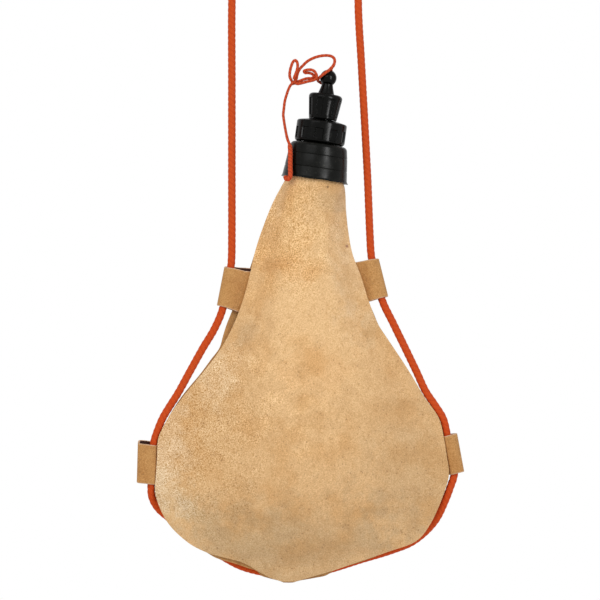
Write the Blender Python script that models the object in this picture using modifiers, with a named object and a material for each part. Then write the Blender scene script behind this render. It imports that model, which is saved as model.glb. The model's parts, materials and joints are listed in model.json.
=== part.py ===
"""A leather bota bag: two leather panels round a latex liner, a black screw
nozzle and cap, four cord loops, a carry cord and a thin keeper cord.

Metres, +Z up. The front faces -Y. The origin is where a hook would bear, under
the bend at the top of the carry cord.
"""
import math

import bmesh
import bpy
import numpy as np
from mathutils import Matrix, Vector

# Driving dimensions of the leather bag
bag_height = 0.2420
belly_half_width = 0.0900
belly_depth = 0.0215
leather_thickness = 0.0020
rim_width = 0.0080
touch_gap = 0.0003
weld_distance = 0.00001

# Where the neck leaves the leather, and how far it leans
neck_foot_x = 0.0122
neck_foot_z = -0.1530
neck_lean = math.radians(7.8)
leather_top_z = -0.1518

# Edge of the front panel: height share, then left and right as shares of the belly's half width
FRONT_EDGE_SHARES = (
    (0.030, 0.094, 0.342),
    (0.064, 0.134, 0.347),
    (0.124, 0.202, 0.362),
    (0.183, 0.257, 0.389),
    (0.243, 0.296, 0.445),
    (0.302, 0.339, 0.495),
    (0.362, 0.400, 0.560),
    (0.421, 0.485, 0.664),
    (0.481, 0.604, 0.770),
    (0.540, 0.735, 0.864),
    (0.600, 0.847, 0.970),
    (0.645, 0.903, 0.998),
    (0.689, 0.911, 1.017),
    (0.734, 0.918, 1.031),
    (0.779, 0.924, 1.000),
    (0.818, 0.893, 0.960),
    (0.858, 0.833, 0.907),
    (0.898, 0.724, 0.820),
    (0.927, 0.587, 0.620),
    (0.955, 0.330, 0.400),
    (0.977, 0.227, 0.225),
    (0.993, 0.140, 0.070),
    (1.000, 0.080, 0.010),
)

# The back panel is cut a little larger at the left flank and under the bottom
BACK_EDGE_SHARES = FRONT_EDGE_SHARES[:4] + (
    (0.243, 0.312, 0.445),
    (0.302, 0.382, 0.495),
    (0.338, 0.423, 0.533),
    (0.362, 0.447, 0.560),
    (0.392, 0.474, 0.612),
    (0.421, 0.497, 0.664),
    (0.450, 0.554, 0.717),
    (0.481, 0.615, 0.770),
    (0.540, 0.745, 0.864),
) + FRONT_EDGE_SHARES[10:18] + (
    (0.927, 0.613, 0.620),
    (0.955, 0.480, 0.420),
    (0.977, 0.293, 0.250),
    (0.984, 0.250, 0.222),
    (0.992, 0.170, 0.132),
    (1.000, 0.090, 0.020),
    (1.003, 0.070, -0.005),
)

# How far each panel bulges: height share, share of the belly's depth, roundness
BULGE_SHARES = (
    (0.000, 0.830, 0.50),
    (0.100, 0.800, 0.55),
    (0.200, 0.790, 0.66),
    (0.300, 0.820, 0.85),
    (0.450, 0.910, 1.05),
    (0.600, 0.990, 1.12),
    (0.700, 1.000, 1.15),
    (0.800, 0.870, 1.15),
    (0.880, 0.580, 1.15),
    (0.940, 0.230, 1.15),
    (0.970, 0.060, 1.15),
    (1.010, 0.000, 1.15),
)

panel_columns = 16
panel_rows = 26
row_crowding_share = 0.35
spread_start_share = 0.35

# Latex liner
liner_thickness = 0.0008
liner_sides = 22
liner_rows = 13
liner_width_share = 0.86
liner_depth_share = 0.92
liner_roundness = 0.75
liner_end_share = 0.90
liner_corner_share = 0.72
liner_closing_share = 0.90

# Neck tube, turned about the neck's axis; heights are measured along it from the collar's lower rim
neck_bore_radius = 0.0068
neck_tube_radius = 0.0092
neck_tube_foot = -0.0100
neck_screw_height = 0.0113
neck_foot_chamfer = 0.0010
neck_groove_depth = 0.0006
neck_groove_height = 0.0014
neck_groove_count = 3
neck_ledge_radius = 0.0120
neck_ledge_height = 0.0018
turned_steps = 36
hidden_steps = 28

# Cord wound round leather and liner, on the neck tube
binding_thickness = 0.0018
binding_pitch = 0.0022
binding_turns = 3
binding_margin = 0.0002
binding_points_per_turn = 14
binding_grip_margin = 0.0006

# Collar
collar_height = 0.0217
collar_rim_radius = 0.0196
collar_top_radius = 0.0168
collar_lip_height = 0.0016
collar_lip_reach = 0.0006
collar_wall = 0.0013
collar_disc_thickness = 0.0020
collar_shoulder_radius = 0.0034
collar_groove_heights = (0.0070, 0.0147)
collar_groove_width = 0.0005
collar_groove_depth = 0.0003

# Nozzle: fluted ring nut below, drinking spout above
ring_radius = 0.0151
ring_height = 0.0131
ring_bottom_round = 0.0018
ring_top_round = 0.0012
ring_shoulder_rise = 0.0012
ring_flute_count = 10
ring_flute_width = 0.0052
ring_flute_depth = 0.0009
ring_flute_band = 0.0044
ring_roof_thickness = 0.0020
spout_radius = 0.0056
spout_height = 0.0105
spout_tip_round = 0.0010
jet_radius = 0.0012
jet_funnel_height = 0.0070

# Washers
nozzle_washer_wall = 0.0022
cap_washer_thickness = 0.0011
cap_washer_wall = 0.0032
washer_steps = 28

# Cap with its ball
cap_top_radius = 0.0101
cap_rim_radius = 0.0084
cap_height = 0.0153
cap_top_round = 0.0022
cap_flute_count = 8
cap_flute_width = 0.0040
cap_flute_depth = 0.0008
cap_flute_band = 0.0030
cap_flute_foot = 0.0018
stalk_base_radius = 0.0050
stalk_waist_radius = 0.0033
stalk_height = 0.0061
stalk_bend_share = 0.6
stalk_bend_radius = 0.0036
ball_radius = 0.0050
ball_arc_points = 9

# How far each flute's cutter reaches out past the nut or cap
flute_overrun = 0.0020

# Carry cord and keeper cord
cord_diameter = 0.0047
route_steps = 2
cord_knot_radius = 0.0056
cord_knot_length = 0.0117
knot_steps = 16
knot_rows = 12
knot_wraps = 3
knot_wrap_share = 0.12
knot_end_share = 0.12
knot_fullness = 0.6
keeper_diameter = 0.0018
keeper_hitch_share = 1.6
keeper_hitch_top = -0.1335
keeper_knot_radius = 0.0017

# Cord loops: leather strips folded round the carry cord
loop_height = 0.0240
loop_reach = 0.0154
loop_thickness = 0.0012
loop_half_gap = 0.0026
loop_slit = 0.0003
loop_tab_depth = 0.0080
loop_flare = 0.0005
loop_arc_points = 9
rim_spread_reach = 0.0110

# Name, height share of its middle on the panel's edge, lean of its top towards the bag in degrees,
# then shares of the loops' reach: where the legs part, and the fold; shares of the loops' height: its
# height, and how much lower top and foot are at the panel's edge than at the fold; side of the bag
LOOP_SHARES = (
    ("loop_upper_left", 0.280, 11.0, 0.455, 1.000, 0.975, 0.000, 0.070, -1),
    ("loop_upper_right", 0.259, 14.0, 0.273, 0.831, 0.980, -0.036, 0.012, 1),
    ("loop_lower_left", 0.7065, 1.5, 0.078, 0.766, 0.990, 0.048, 0.042, -1),
    ("loop_lower_right", 0.687, 10.5, 0.078, 0.565, 0.980, 0.000, 0.000, 1),
)

# Route of the carry cord, from the knot over the top, down the left, behind the bottom, up the right
CORD_ROUTE = (
    (0.0196, 0.0, -0.0026), (0.0104, 0.0, 0.0011), (0.0004, 0.0, 0.00235),
    (-0.0113, 0.0, 0.0005), (-0.0218, 0.0, -0.0051), (-0.0300, 0.0, -0.0137),
    (-0.0352, 0.0, -0.0243), (-0.0370, 0.0, -0.0360), (-0.0373, 0.0, -0.0500),
    (-0.0373, 0.0, -0.0900), (-0.0373, 0.0, -0.1500), (-0.0373, 0.0, -0.1890),
    (-0.0374, 0.0, -0.1985), (-0.0379, 0.0, -0.2056), (-0.0394, 0.0, -0.2135),
    (-0.0410, 0.0, -0.2213), (-0.0426, 0.0, -0.2297), (-0.0476, 0.0, -0.2420),
    (-0.0546, 0.0, -0.2538), (-0.0626, 0.0, -0.2682), (-0.0706, 0.0, -0.2826),
    (-0.0749, 0.0, -0.2893), (-0.0791, 0.0, -0.2960), (-0.0824, 0.0, -0.3024),
    (-0.0858, 0.0, -0.3102), (-0.0862, 0.0, -0.3187), (-0.0864, 0.0, -0.3267),
    (-0.0866, 0.0, -0.3340), (-0.0865, 0.0001, -0.3374), (-0.0860, 0.0012, -0.3415),
    (-0.0849, 0.0032, -0.3456), (-0.0827, 0.0053, -0.3496), (-0.0740, 0.0077, -0.3574),
    (-0.0634, 0.0082, -0.3662),
    (-0.0528, 0.0082, -0.3734), (-0.0432, 0.0080, -0.3795), (-0.0324, 0.0074, -0.3852),
    (-0.0204, 0.0070, -0.3886), (-0.0050, 0.0068, -0.3906), (0.0096, 0.0068, -0.3903),
    (0.0230, 0.0068, -0.3868), (0.0408, 0.0070, -0.3812), (0.0590, 0.0074, -0.3757),
    (0.0710, 0.0074, -0.3708), (0.0790, 0.0066, -0.3646), (0.0852, 0.0048, -0.3573),
    (0.0912, 0.0022, -0.3460), (0.0950, 0.0, -0.3375), (0.0976, 0.0, -0.3296),
    (0.0962, 0.0, -0.3212), (0.0947, 0.0, -0.3134), (0.0930, 0.0, -0.3050),
    (0.0903, 0.0, -0.2958), (0.0854, 0.0, -0.2880), (0.0802, 0.0, -0.2805),
    (0.0736, 0.0, -0.2682), (0.0667, 0.0, -0.2538), (0.0597, 0.0, -0.2394),
    (0.0527, 0.0, -0.2245), (0.0506, 0.0, -0.2163), (0.0486, 0.0, -0.2085),
    (0.0467, 0.0, -0.2008), (0.0461, 0.0, -0.1960), (0.0457, 0.0, -0.1890),
    (0.0442, 0.0, -0.1530), (0.0423, 0.0, -0.1170), (0.0403, 0.0, -0.0810),
    (0.0386, 0.0, -0.0500), (0.0384, 0.0, -0.0360), (0.0373, 0.0, -0.0268),
    (0.0342, 0.0, -0.0182), (0.0299, 0.0, -0.0115),
)
KNOT_PLACE = (0.0248, 0.0, -0.0069)
KNOT_LEAN = math.radians(42.0)

# Route of the keeper cord, from under the collar's rim up to the knot at the ball
KEEPER_ROUTE = (
    (-0.0051, -0.0136, -0.1516), (-0.0047, -0.0143, -0.1526), (-0.0036, -0.0154, -0.1530),
    (-0.0026, -0.0165, -0.1523), (-0.0022, -0.0168, -0.1508), (-0.0022, -0.0151, -0.1470),
    (-0.0022, -0.0131, -0.1420), (-0.0022, -0.0113, -0.1370), (-0.0023, -0.0100, -0.1345),
    (-0.0027, -0.0084, -0.1320), (-0.0037, -0.0070, -0.1294), (-0.0051, -0.0058, -0.1232),
    (-0.0061, -0.0052, -0.1170), (-0.0064, -0.0050, -0.1146), (-0.0060, -0.0047, -0.1101),
    (-0.0055, -0.0045, -0.1061), (-0.0044, -0.0043, -0.1021), (-0.0033, -0.0042, -0.0989),
    (-0.0020, -0.0041, -0.0966),
)
KEEPER_KNOT_PLACE = (-0.0004, -0.0042, -0.0948)

# Route of the wide loop that holds the cap: up from the knot, down beside the ball, round behind it
KEEPER_LOOP_ROUTE = (
    (0.0014, -0.0042, -0.0926), (0.0018, -0.0043, -0.0908), (0.0024, -0.0043, -0.0888),
    (0.0034, -0.0042, -0.0868), (0.0055, -0.0041, -0.0845), (0.0082, -0.0040, -0.0820),
    (0.0113, -0.0038, -0.0803), (0.0145, -0.0038, -0.0792), (0.0175, -0.0039, -0.0787),
    (0.0206, -0.0042, -0.0787), (0.0229, -0.0047, -0.0794), (0.0242, -0.0054, -0.0809),
    (0.0243, -0.0061, -0.0828), (0.0232, -0.0066, -0.0852), (0.0213, -0.0063, -0.0872),
    (0.0190, -0.0058, -0.0889), (0.0168, -0.0053, -0.0905), (0.0150, -0.0038, -0.0920),
    (0.0143, -0.0010, -0.0931), (0.0150, 0.0024, -0.0938), (0.0174, 0.0052, -0.0947),
    (0.0204, 0.0062, -0.0945), (0.0230, 0.0060, -0.0927), (0.0234, 0.0058, -0.0900),
    (0.0226, 0.0048, -0.0880), (0.0224, 0.0030, -0.0862), (0.0236, 0.0002, -0.0846),
    (0.0242, -0.0030, -0.0834),
)

# Route of the small upright bow at the knot, then of the folded end that lies beside the ball
KEEPER_BOW_ROUTE = (
    (-0.0023, -0.0049, -0.0921), (-0.0026, -0.0049, -0.0905), (-0.0024, -0.0050, -0.0882),
    (-0.0016, -0.0050, -0.0850), (-0.0006, -0.0049, -0.0826), (0.0007, -0.0049, -0.0815),
    (0.0018, -0.0053, -0.0826), (0.0022, -0.0058, -0.0850), (0.0016, -0.0063, -0.0881),
    (0.0006, -0.0066, -0.0908), (-0.0002, -0.0066, -0.0920),
)
KEEPER_TAIL_ROUTE = (
    (0.0020, -0.0046, -0.0956), (0.0050, -0.0048, -0.0951), (0.0084, -0.0050, -0.0942),
    (0.0112, -0.0051, -0.0936), (0.0130, -0.0054, -0.0928), (0.0136, -0.0060, -0.0912),
    (0.0130, -0.0060, -0.0894), (0.0118, -0.0057, -0.0879), (0.0101, -0.0055, -0.0873),
    (0.0076, -0.0053, -0.0874), (0.0060, -0.0046, -0.0880), (0.0066, -0.0036, -0.0889),
    (0.0090, -0.0034, -0.0890), (0.0112, -0.0036, -0.0899), (0.0121, -0.0036, -0.0913),
    (0.0106, -0.0034, -0.0922), (0.0080, -0.0033, -0.0923), (0.0055, -0.0033, -0.0930),
    (0.0034, -0.0033, -0.0938), (0.0023, -0.0022, -0.0942),
)


def clear_scene():
    """Remove whatever the file holds, so that only the bag is left."""
    for item in list(bpy.data.objects):
        bpy.data.objects.remove(item, do_unlink=True)


def make_collection(name):
    """Add a collection to the scene."""
    collection = bpy.data.collections.new(name)
    bpy.context.scene.collection.children.link(collection)
    return collection


def linear(red, green, blue):
    """Turn a colour as seen on a screen, 0 to 255, into Blender's linear values."""
    values = []
    for level in (red, green, blue):
        share = level / 255
        values.append(share / 12.92 if share <= 0.04045 else ((share + 0.055) / 1.055) ** 2.4)
    return (*values, 1.0)


def make_material(name, colour, roughness, metallic=0.0):
    """A plain Principled material."""
    material = bpy.data.materials.new(name)
    material.use_nodes = True
    shader = material.node_tree.nodes["Principled BSDF"]
    shader.inputs["Base Color"].default_value = colour
    shader.inputs["Roughness"].default_value = roughness
    shader.inputs["Metallic"].default_value = metallic
    material.diffuse_color = colour
    return material


clear_scene()
parts = make_collection("leather_bota_bag")
cutters = make_collection("cutters")

suede = make_material("suede_leather", linear(229, 190, 143), 0.85)
loop_leather = make_material("loop_leather", linear(205, 160, 112), 0.80)
latex = make_material("latex", linear(214, 186, 140), 0.50)
black_plastic = make_material("black_plastic", linear(22, 22, 24), 0.28)
seal_rubber = make_material("seal_rubber", linear(60, 60, 62), 0.60)
orange_cord = make_material("orange_cord", linear(214, 72, 30), 0.70)
binding_cord = make_material("binding_cord", linear(190, 170, 130), 0.75)


def add_object(name, data, material, parent=None):
    """Put a mesh or curve in the part's collection under its node's name."""
    item = bpy.data.objects.new(name, data)
    parts.objects.link(item)
    item.data.materials.append(material)
    item.parent = parent
    return item


def hermite(at, values, where):
    """Read a smooth curve through values, given at rising places, at the places where."""
    at = np.asarray(at, dtype=float)
    values = np.asarray(values, dtype=float)
    slopes = np.gradient(values, at, axis=0)
    index = np.clip(np.searchsorted(at, where, side="right") - 1, 0, len(at) - 2)
    span = at[index + 1] - at[index]
    t = ((where - at[index]) / span)[:, None]
    span = span[:, None]
    return ((2 * t**3 - 3 * t**2 + 1) * values[index] + (t**3 - 2 * t**2 + t) * span * slopes[index]
            + (3 * t**2 - 2 * t**3) * values[index + 1] + (t**3 - t**2) * span * slopes[index + 1])


def smooth_route(route):
    """One smooth curve through the route's own points, with its length."""
    points = np.array(route)
    at = np.concatenate(([0.0], np.cumsum(np.linalg.norm(np.diff(points, axis=0), axis=1))))
    count = (len(points) - 1) * route_steps + 1
    where = np.interp(np.linspace(0.0, len(points) - 1, count), np.arange(len(points)), at)
    line = hermite(at, points, where)
    return line, np.linalg.norm(np.diff(line, axis=0), axis=1).sum()


def tube(name, points, diameter, material, radii=None, resolution=2, parent=None):
    """A round tube along points: a curve with a bevel and filled caps."""
    curve = bpy.data.curves.new(name, "CURVE")
    curve.dimensions = "3D"
    curve.bevel_depth = diameter / 2
    curve.bevel_resolution = resolution
    curve.use_fill_caps = True
    spline = curve.splines.new("POLY")
    spline.points.add(len(points) - 1)
    for index, point in enumerate(points):
        spline.points[index].co = (*point, 1.0)
        spline.points[index].radius = 1.0 if radii is None else radii[index]
    return add_object(name, curve, material, parent)


# The neck's own frame: +Z along its axis, from the level of the collar's lower rim
neck_axis = bpy.data.objects.new("neck_axis", None)
neck_axis.location = (neck_foot_x, 0, neck_foot_z)
neck_axis.rotation_euler = (0, neck_lean, 0)
neck_axis.empty_display_size = collar_height
parts.objects.link(neck_axis)


def turned(name, profile, material, steps=turned_steps):
    """A turned piece: a profile at +X, outer side running down, swept round the neck's axis."""
    mesh = bpy.data.meshes.new(name)
    closed = profile[0][0] > 0
    edges = [(index, index + 1) for index in range(len(profile) - 1)]
    if closed:
        edges.append((len(profile) - 1, 0))
    mesh.from_pydata([(radius, 0, height) for radius, height in profile], edges, [])
    item = add_object(name, mesh, material, neck_axis)
    screw = item.modifiers.new("turn", "SCREW")
    screw.axis = "Z"
    screw.angle = math.tau
    screw.steps = steps
    screw.render_steps = steps
    screw.use_merge_vertices = True
    screw.merge_threshold = weld_distance
    screw.use_smooth_shade = True
    return item


def arc(centre_radius, centre_height, radius, start, end, points=4):
    """Profile points on a round, angles in degrees from +X towards +Z."""
    angles = [math.radians(start + (end - start) * index / points) for index in range(points + 1)]
    return [(centre_radius + radius * math.cos(a), centre_height + radius * math.sin(a)) for a in angles]


# Leather panels

ledge_top = collar_height - collar_disc_thickness - touch_gap
ledge_foot = ledge_top - neck_ledge_height
liner_top = ledge_foot - touch_gap
leather_neck_top = liner_top - liner_thickness
neck_tube_top = collar_height + neck_screw_height
binding_height = binding_turns * binding_pitch + binding_thickness
binding_foot = leather_neck_top - binding_margin - binding_height
leather_grip_foot = binding_foot - binding_grip_margin
liner_neck_radius = neck_tube_radius + touch_gap
leather_neck_radius = liner_neck_radius + liner_thickness + touch_gap + leather_thickness
collar_inner_rim = collar_rim_radius - collar_wall
leather_rim_radius = collar_inner_rim - 2 * touch_gap

# Neck stretch under the collar: height along the neck's axis, leather's outer radius
NECK_STRETCH = (
    (leather_neck_top, leather_neck_radius),
    (leather_grip_foot, leather_neck_radius),
    ((leather_grip_foot + leather_thickness) / 2, (leather_neck_radius + leather_rim_radius) / 2),
    (leather_thickness / 2, leather_rim_radius - leather_thickness / 4),
    (-leather_thickness, leather_rim_radius),
)


def neck_point(height):
    """A place on the neck's axis, in the bag's frame."""
    along = Vector((math.sin(neck_lean), 0, math.cos(neck_lean)))
    return Vector((neck_foot_x, 0, neck_foot_z)) + along * height


def bag_sections(edge_shares, rows):
    """Sections of the bag from the neck's top to the bottom.

    Each is (centre, half width, lean, depth, roundness, flat rim width).
    """
    sections = []
    for height, radius in NECK_STRETCH:
        sections.append((neck_point(height), radius, neck_lean, radius, BULGE_SHARES[0][2], 0.0))
    edge = np.array(edge_shares)
    bulge = np.array(BULGE_SHARES)
    first, last = edge[0, 0], edge[-1, 0]
    steps = np.linspace(0.0, 1.0, rows)
    crowded = row_crowding_share * np.sin(steps * math.pi / 2) + (1 - row_crowding_share) * steps
    places = first + (last - first) * crowded
    sides = hermite(edge[:, 0], edge[:, 1:], places)
    swells = hermite(bulge[:, 0], bulge[:, 1:], places)
    for place, (left, right), (swell, roundness) in zip(places, sides, swells):
        centre_x = belly_half_width * (right - left) / 2
        centre = Vector((centre_x, 0, leather_top_z - place * bag_height))
        lean = neck_lean * max(0.0, 1 - place / edge_shares[4][0])
        flat = rim_width * min(1.0, place / edge_shares[3][0])
        depth = max(0.0, swell) * belly_depth
        sections.append((centre, belly_half_width * (left + right) / 2, lean, depth, roundness, flat))
    return sections


def rim_spread(place, side):
    """How far the two panels part to let a loop's legs in between them."""
    spread = 0.0
    room = loop_thickness + loop_slit / 2
    for _name, share, *_shape, loop_side in LOOP_SHARES:
        if loop_side == side:
            edge_z = leather_top_z - share * bag_height
            past = abs(place - edge_z) - loop_height / 2 - 2 * leather_thickness
            fade = min(1.0, max(0.0, past / rim_spread_reach))
            spread = max(spread, room * (1 - fade * fade * (3 - 2 * fade)))
    return spread


def panel(name, edge_shares, facing):
    """One leather panel: a loft through the bag's sections, thickened inwards."""
    shell = bmesh.new()
    grid = []
    for centre, half, lean, depth, roundness, flat in bag_sections(edge_shares, panel_rows):
        across = Vector((math.cos(lean), 0, -math.sin(lean)))
        inner = 1 - flat / half
        shares = [math.sin(math.pi * (column / panel_columns - 0.5)) for column in range(panel_columns + 1)]
        swells = [max(0.0, 1 - (share / inner) ** 2) ** roundness for share in shares]
        run = half * (shares[-1] - shares[-2])
        rise = depth * (swells[-2] - swells[-1])
        stand = touch_gap / 2 + leather_thickness * run / math.hypot(run, rise)
        row = []
        for share, swell in zip(shares, swells):
            place = centre + across * (half * share)
            weight = min(1.0, max(0.0, abs(share) / spread_start_share - 1))
            spread = weight * rim_spread(place.z, 1 if share > 0 else -1)
            place.y = facing * (stand + max(0.0, depth - stand) * swell + spread)
            row.append(shell.verts.new(place))
        grid.append(row)
    for upper, lower in zip(grid, grid[1:]):
        for column in range(panel_columns):
            corners = [upper[column], lower[column], lower[column + 1], upper[column + 1]]
            shell.faces.new(corners if facing < 0 else corners[::-1])
    mesh = bpy.data.meshes.new(name)
    shell.to_mesh(mesh)
    shell.free()
    mesh.shade_smooth()
    item = add_object(name, mesh, suede)
    solid = item.modifiers.new("leather", "SOLIDIFY")
    solid.thickness = leather_thickness
    solid.offset = -1
    return item


panel("front_panel", FRONT_EDGE_SHARES, -1)
panel("back_panel", BACK_EDGE_SHARES, 1)


# Latex liner inside the leather

def liner():
    """The liner: rings lofted inside the leather, open at the neck tube."""
    rings = []
    collar_side = liner_neck_radius + liner_thickness
    for height in (liner_top, leather_grip_foot, neck_tube_foot):
        rings.append((neck_point(height), collar_side, neck_lean, collar_side, 0.5))
    sections = bag_sections(FRONT_EDGE_SHARES, liner_rows + 3)[len(NECK_STRETCH) + 2:]
    for index, (centre, half, lean, depth, roundness, flat) in enumerate(sections):
        step = (index + 1) / len(sections)
        if step > liner_end_share:
            break
        past = max(0.0, (step - liner_corner_share) / (liner_end_share - liner_corner_share))
        closing = math.sqrt(1 - (liner_closing_share * past) ** 2)
        wide = (half - flat) * liner_width_share * closing
        deep = (depth - leather_thickness) * liner_depth_share * closing
        blend = max(0.5, min(liner_roundness, roundness * liner_roundness))
        rings.append((centre, wide, lean, deep, blend))
    shell = bmesh.new()
    grid = []
    for centre, wide, lean, deep, roundness in rings:
        across = Vector((math.cos(lean), 0, -math.sin(lean)))
        row = []
        for side in range(liner_sides):
            angle = math.tau * side / liner_sides
            share = math.cos(angle)
            place = centre + across * (wide * share)
            out = deep * max(0.0, 1 - share * share) ** roundness
            place.y = -out if math.sin(angle) > 0 else out
            row.append(shell.verts.new(place))
        grid.append(row)
    for upper, lower in zip(grid, grid[1:]):
        for side in range(liner_sides):
            other = (side + 1) % liner_sides
            shell.faces.new((upper[side], upper[other], lower[other], lower[side]))
    shell.faces.new(grid[-1])
    bmesh.ops.recalc_face_normals(shell, faces=shell.faces)
    mesh = bpy.data.meshes.new("liner")
    shell.to_mesh(mesh)
    shell.free()
    mesh.shade_smooth()
    item = add_object("latex_liner", mesh, latex)
    solid = item.modifiers.new("latex", "SOLIDIFY")
    solid.thickness = liner_thickness
    solid.offset = -1
    return item


liner()


# Neck tube that everything is tied to, with grooves under the binding

def neck_tube():
    """The hard neck tube: grip grooves below, a ledge for the collar, a plain screw stretch above."""
    profile = [
        (neck_bore_radius, neck_tube_top),
        (neck_tube_radius - neck_foot_chamfer, neck_tube_top),
        (neck_tube_radius, neck_tube_top - neck_foot_chamfer),
        (neck_tube_radius, ledge_top),
        (neck_ledge_radius, ledge_top),
        (neck_ledge_radius, ledge_foot),
        (neck_tube_radius, ledge_foot),
    ]
    for turn in reversed(range(neck_groove_count)):
        middle = binding_foot + binding_thickness / 2 + (turn + 0.5) * binding_pitch
        profile.append((neck_tube_radius, middle + neck_groove_height / 2))
        profile.append((neck_tube_radius - neck_groove_depth, middle))
        profile.append((neck_tube_radius, middle - neck_groove_height / 2))
    profile += [
        (neck_tube_radius, neck_tube_foot + neck_foot_chamfer),
        (neck_tube_radius - neck_foot_chamfer, neck_tube_foot),
        (neck_bore_radius, neck_tube_foot),
    ]
    return turned("filler_neck", profile, black_plastic, hidden_steps)


neck_tube()


# Wound cord that ties leather and liner to the neck tube

def binding():
    """A winding round the leather's neck, one unbroken cord."""
    radius = leather_neck_radius + touch_gap + binding_thickness / 2
    radius /= math.cos(math.pi / binding_points_per_turn)
    count = binding_turns * binding_points_per_turn + 1
    points = []
    for index in range(count):
        angle = math.tau * index / binding_points_per_turn
        height = binding_foot + binding_thickness / 2 + binding_pitch * index / binding_points_per_turn
        points.append((radius * math.cos(angle), radius * math.sin(angle), height))
    return tube("neck_binding", points, binding_thickness, binding_cord, resolution=1, parent=neck_axis)


binding()


# Collar

def collar():
    """The black skirt over the bound neck: a cone with two fine grooves and a round shoulder."""
    hole = neck_tube_radius + touch_gap

    def side(height):
        return collar_rim_radius + (collar_top_radius - collar_rim_radius) * height / collar_height

    shoulder = arc(collar_top_radius - collar_shoulder_radius, collar_height - collar_shoulder_radius,
                   collar_shoulder_radius, 90, 0)
    profile = [(hole, collar_height)] + shoulder
    for height in reversed(collar_groove_heights):
        profile.append((side(height), height + collar_groove_width / 2))
        profile.append((side(height) - collar_groove_depth, height))
        profile.append((side(height), height - collar_groove_width / 2))
    inner_top = collar_height - collar_disc_thickness
    lip_radius = collar_rim_radius + collar_lip_reach
    profile += [
        (side(collar_lip_height), collar_lip_height),
        (lip_radius, collar_wall / 2),
        (lip_radius - collar_wall / 2, 0),
        (collar_inner_rim, collar_wall / 2),
        (side(inner_top) - collar_wall, inner_top),
        (hole, inner_top),
    ]
    return turned("collar", profile, black_plastic)


collar()


# Nozzle, its ring nut fluted by ten cuts

def flute_cutter(name, count, width, depth, radius, foot, top, lean):
    """Blocks set round the axis, which cut the flutes of a nut or cap."""
    blocks = bmesh.new()
    height = top - foot
    for index in range(count):
        turn = Matrix.Rotation(math.tau * (index + 0.5) / count, 4, "Z")
        place = Matrix.Translation((radius - depth + flute_overrun / 2, 0, (foot + top) / 2))
        size = Matrix.Diagonal((flute_overrun, width, height, 1))
        tip = Matrix.Rotation(lean, 4, "Y")
        bmesh.ops.create_cube(blocks, size=1, matrix=turn @ place @ tip @ size)
    mesh = bpy.data.meshes.new(name)
    blocks.to_mesh(mesh)
    blocks.free()
    cutter = bpy.data.objects.new(name, mesh)
    cutters.objects.link(cutter)
    cutter.parent = neck_axis
    cutter.hide_render = True
    cutter.display_type = "WIRE"
    return cutter


def cut(item, cutter):
    """Take a cutter away from a piece."""
    boolean = item.modifiers.new("flutes", "BOOLEAN")
    boolean.operation = "DIFFERENCE"
    boolean.solver = "EXACT"
    boolean.object = cutter


ring_foot = collar_height + touch_gap
ring_top = ring_foot + ring_height
shoulder_top = ring_top + ring_shoulder_rise
ring_bore = neck_tube_radius + touch_gap
ring_roof = shoulder_top - ring_roof_thickness
spout_top = shoulder_top + spout_height


def nozzle():
    """Ring nut and spout in one turned piece, with the jet's bore right through."""
    profile = [(jet_radius, spout_top)]
    profile += arc(spout_radius - spout_tip_round, spout_top - spout_tip_round, spout_tip_round, 90, 0, 3)
    profile += [
        (spout_radius, shoulder_top),
        (cap_rim_radius + touch_gap, shoulder_top),
    ]
    profile += arc(ring_radius - ring_top_round, ring_top - ring_top_round, ring_top_round, 75, 0, 3)
    profile += arc(ring_radius - ring_bottom_round, ring_foot + ring_bottom_round, ring_bottom_round, 0, -90)
    profile += [
        (ring_bore, ring_foot),
        (ring_bore, ring_roof),
        (spout_radius - ring_roof_thickness, ring_roof),
        (jet_radius, ring_roof + jet_funnel_height),
    ]
    item = turned("nozzle", profile, black_plastic)
    cutter = flute_cutter("nozzle_flutes", ring_flute_count, ring_flute_width, ring_flute_depth, ring_radius,
                          ring_foot + ring_bottom_round / 2, ring_top - ring_flute_band, 0.0)
    cut(item, cutter)
    return item


nozzle()


# Washers

def washer(name, inner, outer, foot, thickness):
    """A flat ring."""
    top = foot + thickness
    turned(name, [(inner, top), (outer, top), (outer, foot), (inner, foot)], seal_rubber, washer_steps)


washer("nozzle_washer", neck_tube_radius - nozzle_washer_wall, neck_tube_radius,
       neck_tube_top + touch_gap, ring_roof - neck_tube_top - 2 * touch_gap)

cap_foot = shoulder_top + touch_gap
cap_bore = spout_radius + touch_gap
cap_top = cap_foot + cap_height
cap_roof = spout_top + 2 * touch_gap + cap_washer_thickness
washer("cap_washer", spout_radius - cap_washer_wall, spout_radius, spout_top + touch_gap,
       cap_washer_thickness)


# Cap with its ball

def cap():
    """The ribbed cap: hollow below, with a ball on a short stalk that the keeper cord is tied to."""
    ball_height = cap_top + stalk_height + math.sqrt(ball_radius**2 - stalk_waist_radius**2)
    profile = []
    lowest = -math.degrees(math.acos(stalk_waist_radius / ball_radius))
    for radius, height in arc(0, ball_height, ball_radius, 90, lowest, ball_arc_points):
        profile.append((max(radius, 0.0), height))
    profile[0] = (0, ball_height + ball_radius)
    profile += [
        (stalk_bend_radius, cap_top + stalk_height * stalk_bend_share),
        (stalk_base_radius, cap_top),
    ]
    profile += arc(cap_top_radius - cap_top_round, cap_top - cap_top_round, cap_top_round, 90, 0, 3)
    profile += [
        (cap_rim_radius, cap_foot + touch_gap),
        (cap_rim_radius - touch_gap, cap_foot),
        (cap_bore, cap_foot),
        (cap_bore, cap_roof),
        (0, cap_roof),
    ]
    item = turned("cap", profile, black_plastic)
    lean = math.atan2(cap_top_radius - cap_rim_radius, cap_height)
    middle = (cap_top_radius + cap_rim_radius) / 2
    cutter = flute_cutter("cap_flutes", cap_flute_count, cap_flute_width, cap_flute_depth, middle,
                          cap_foot + cap_flute_foot, cap_top - cap_flute_band, lean)
    cut(item, cutter)
    return item


cap()


# Cord loops

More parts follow.
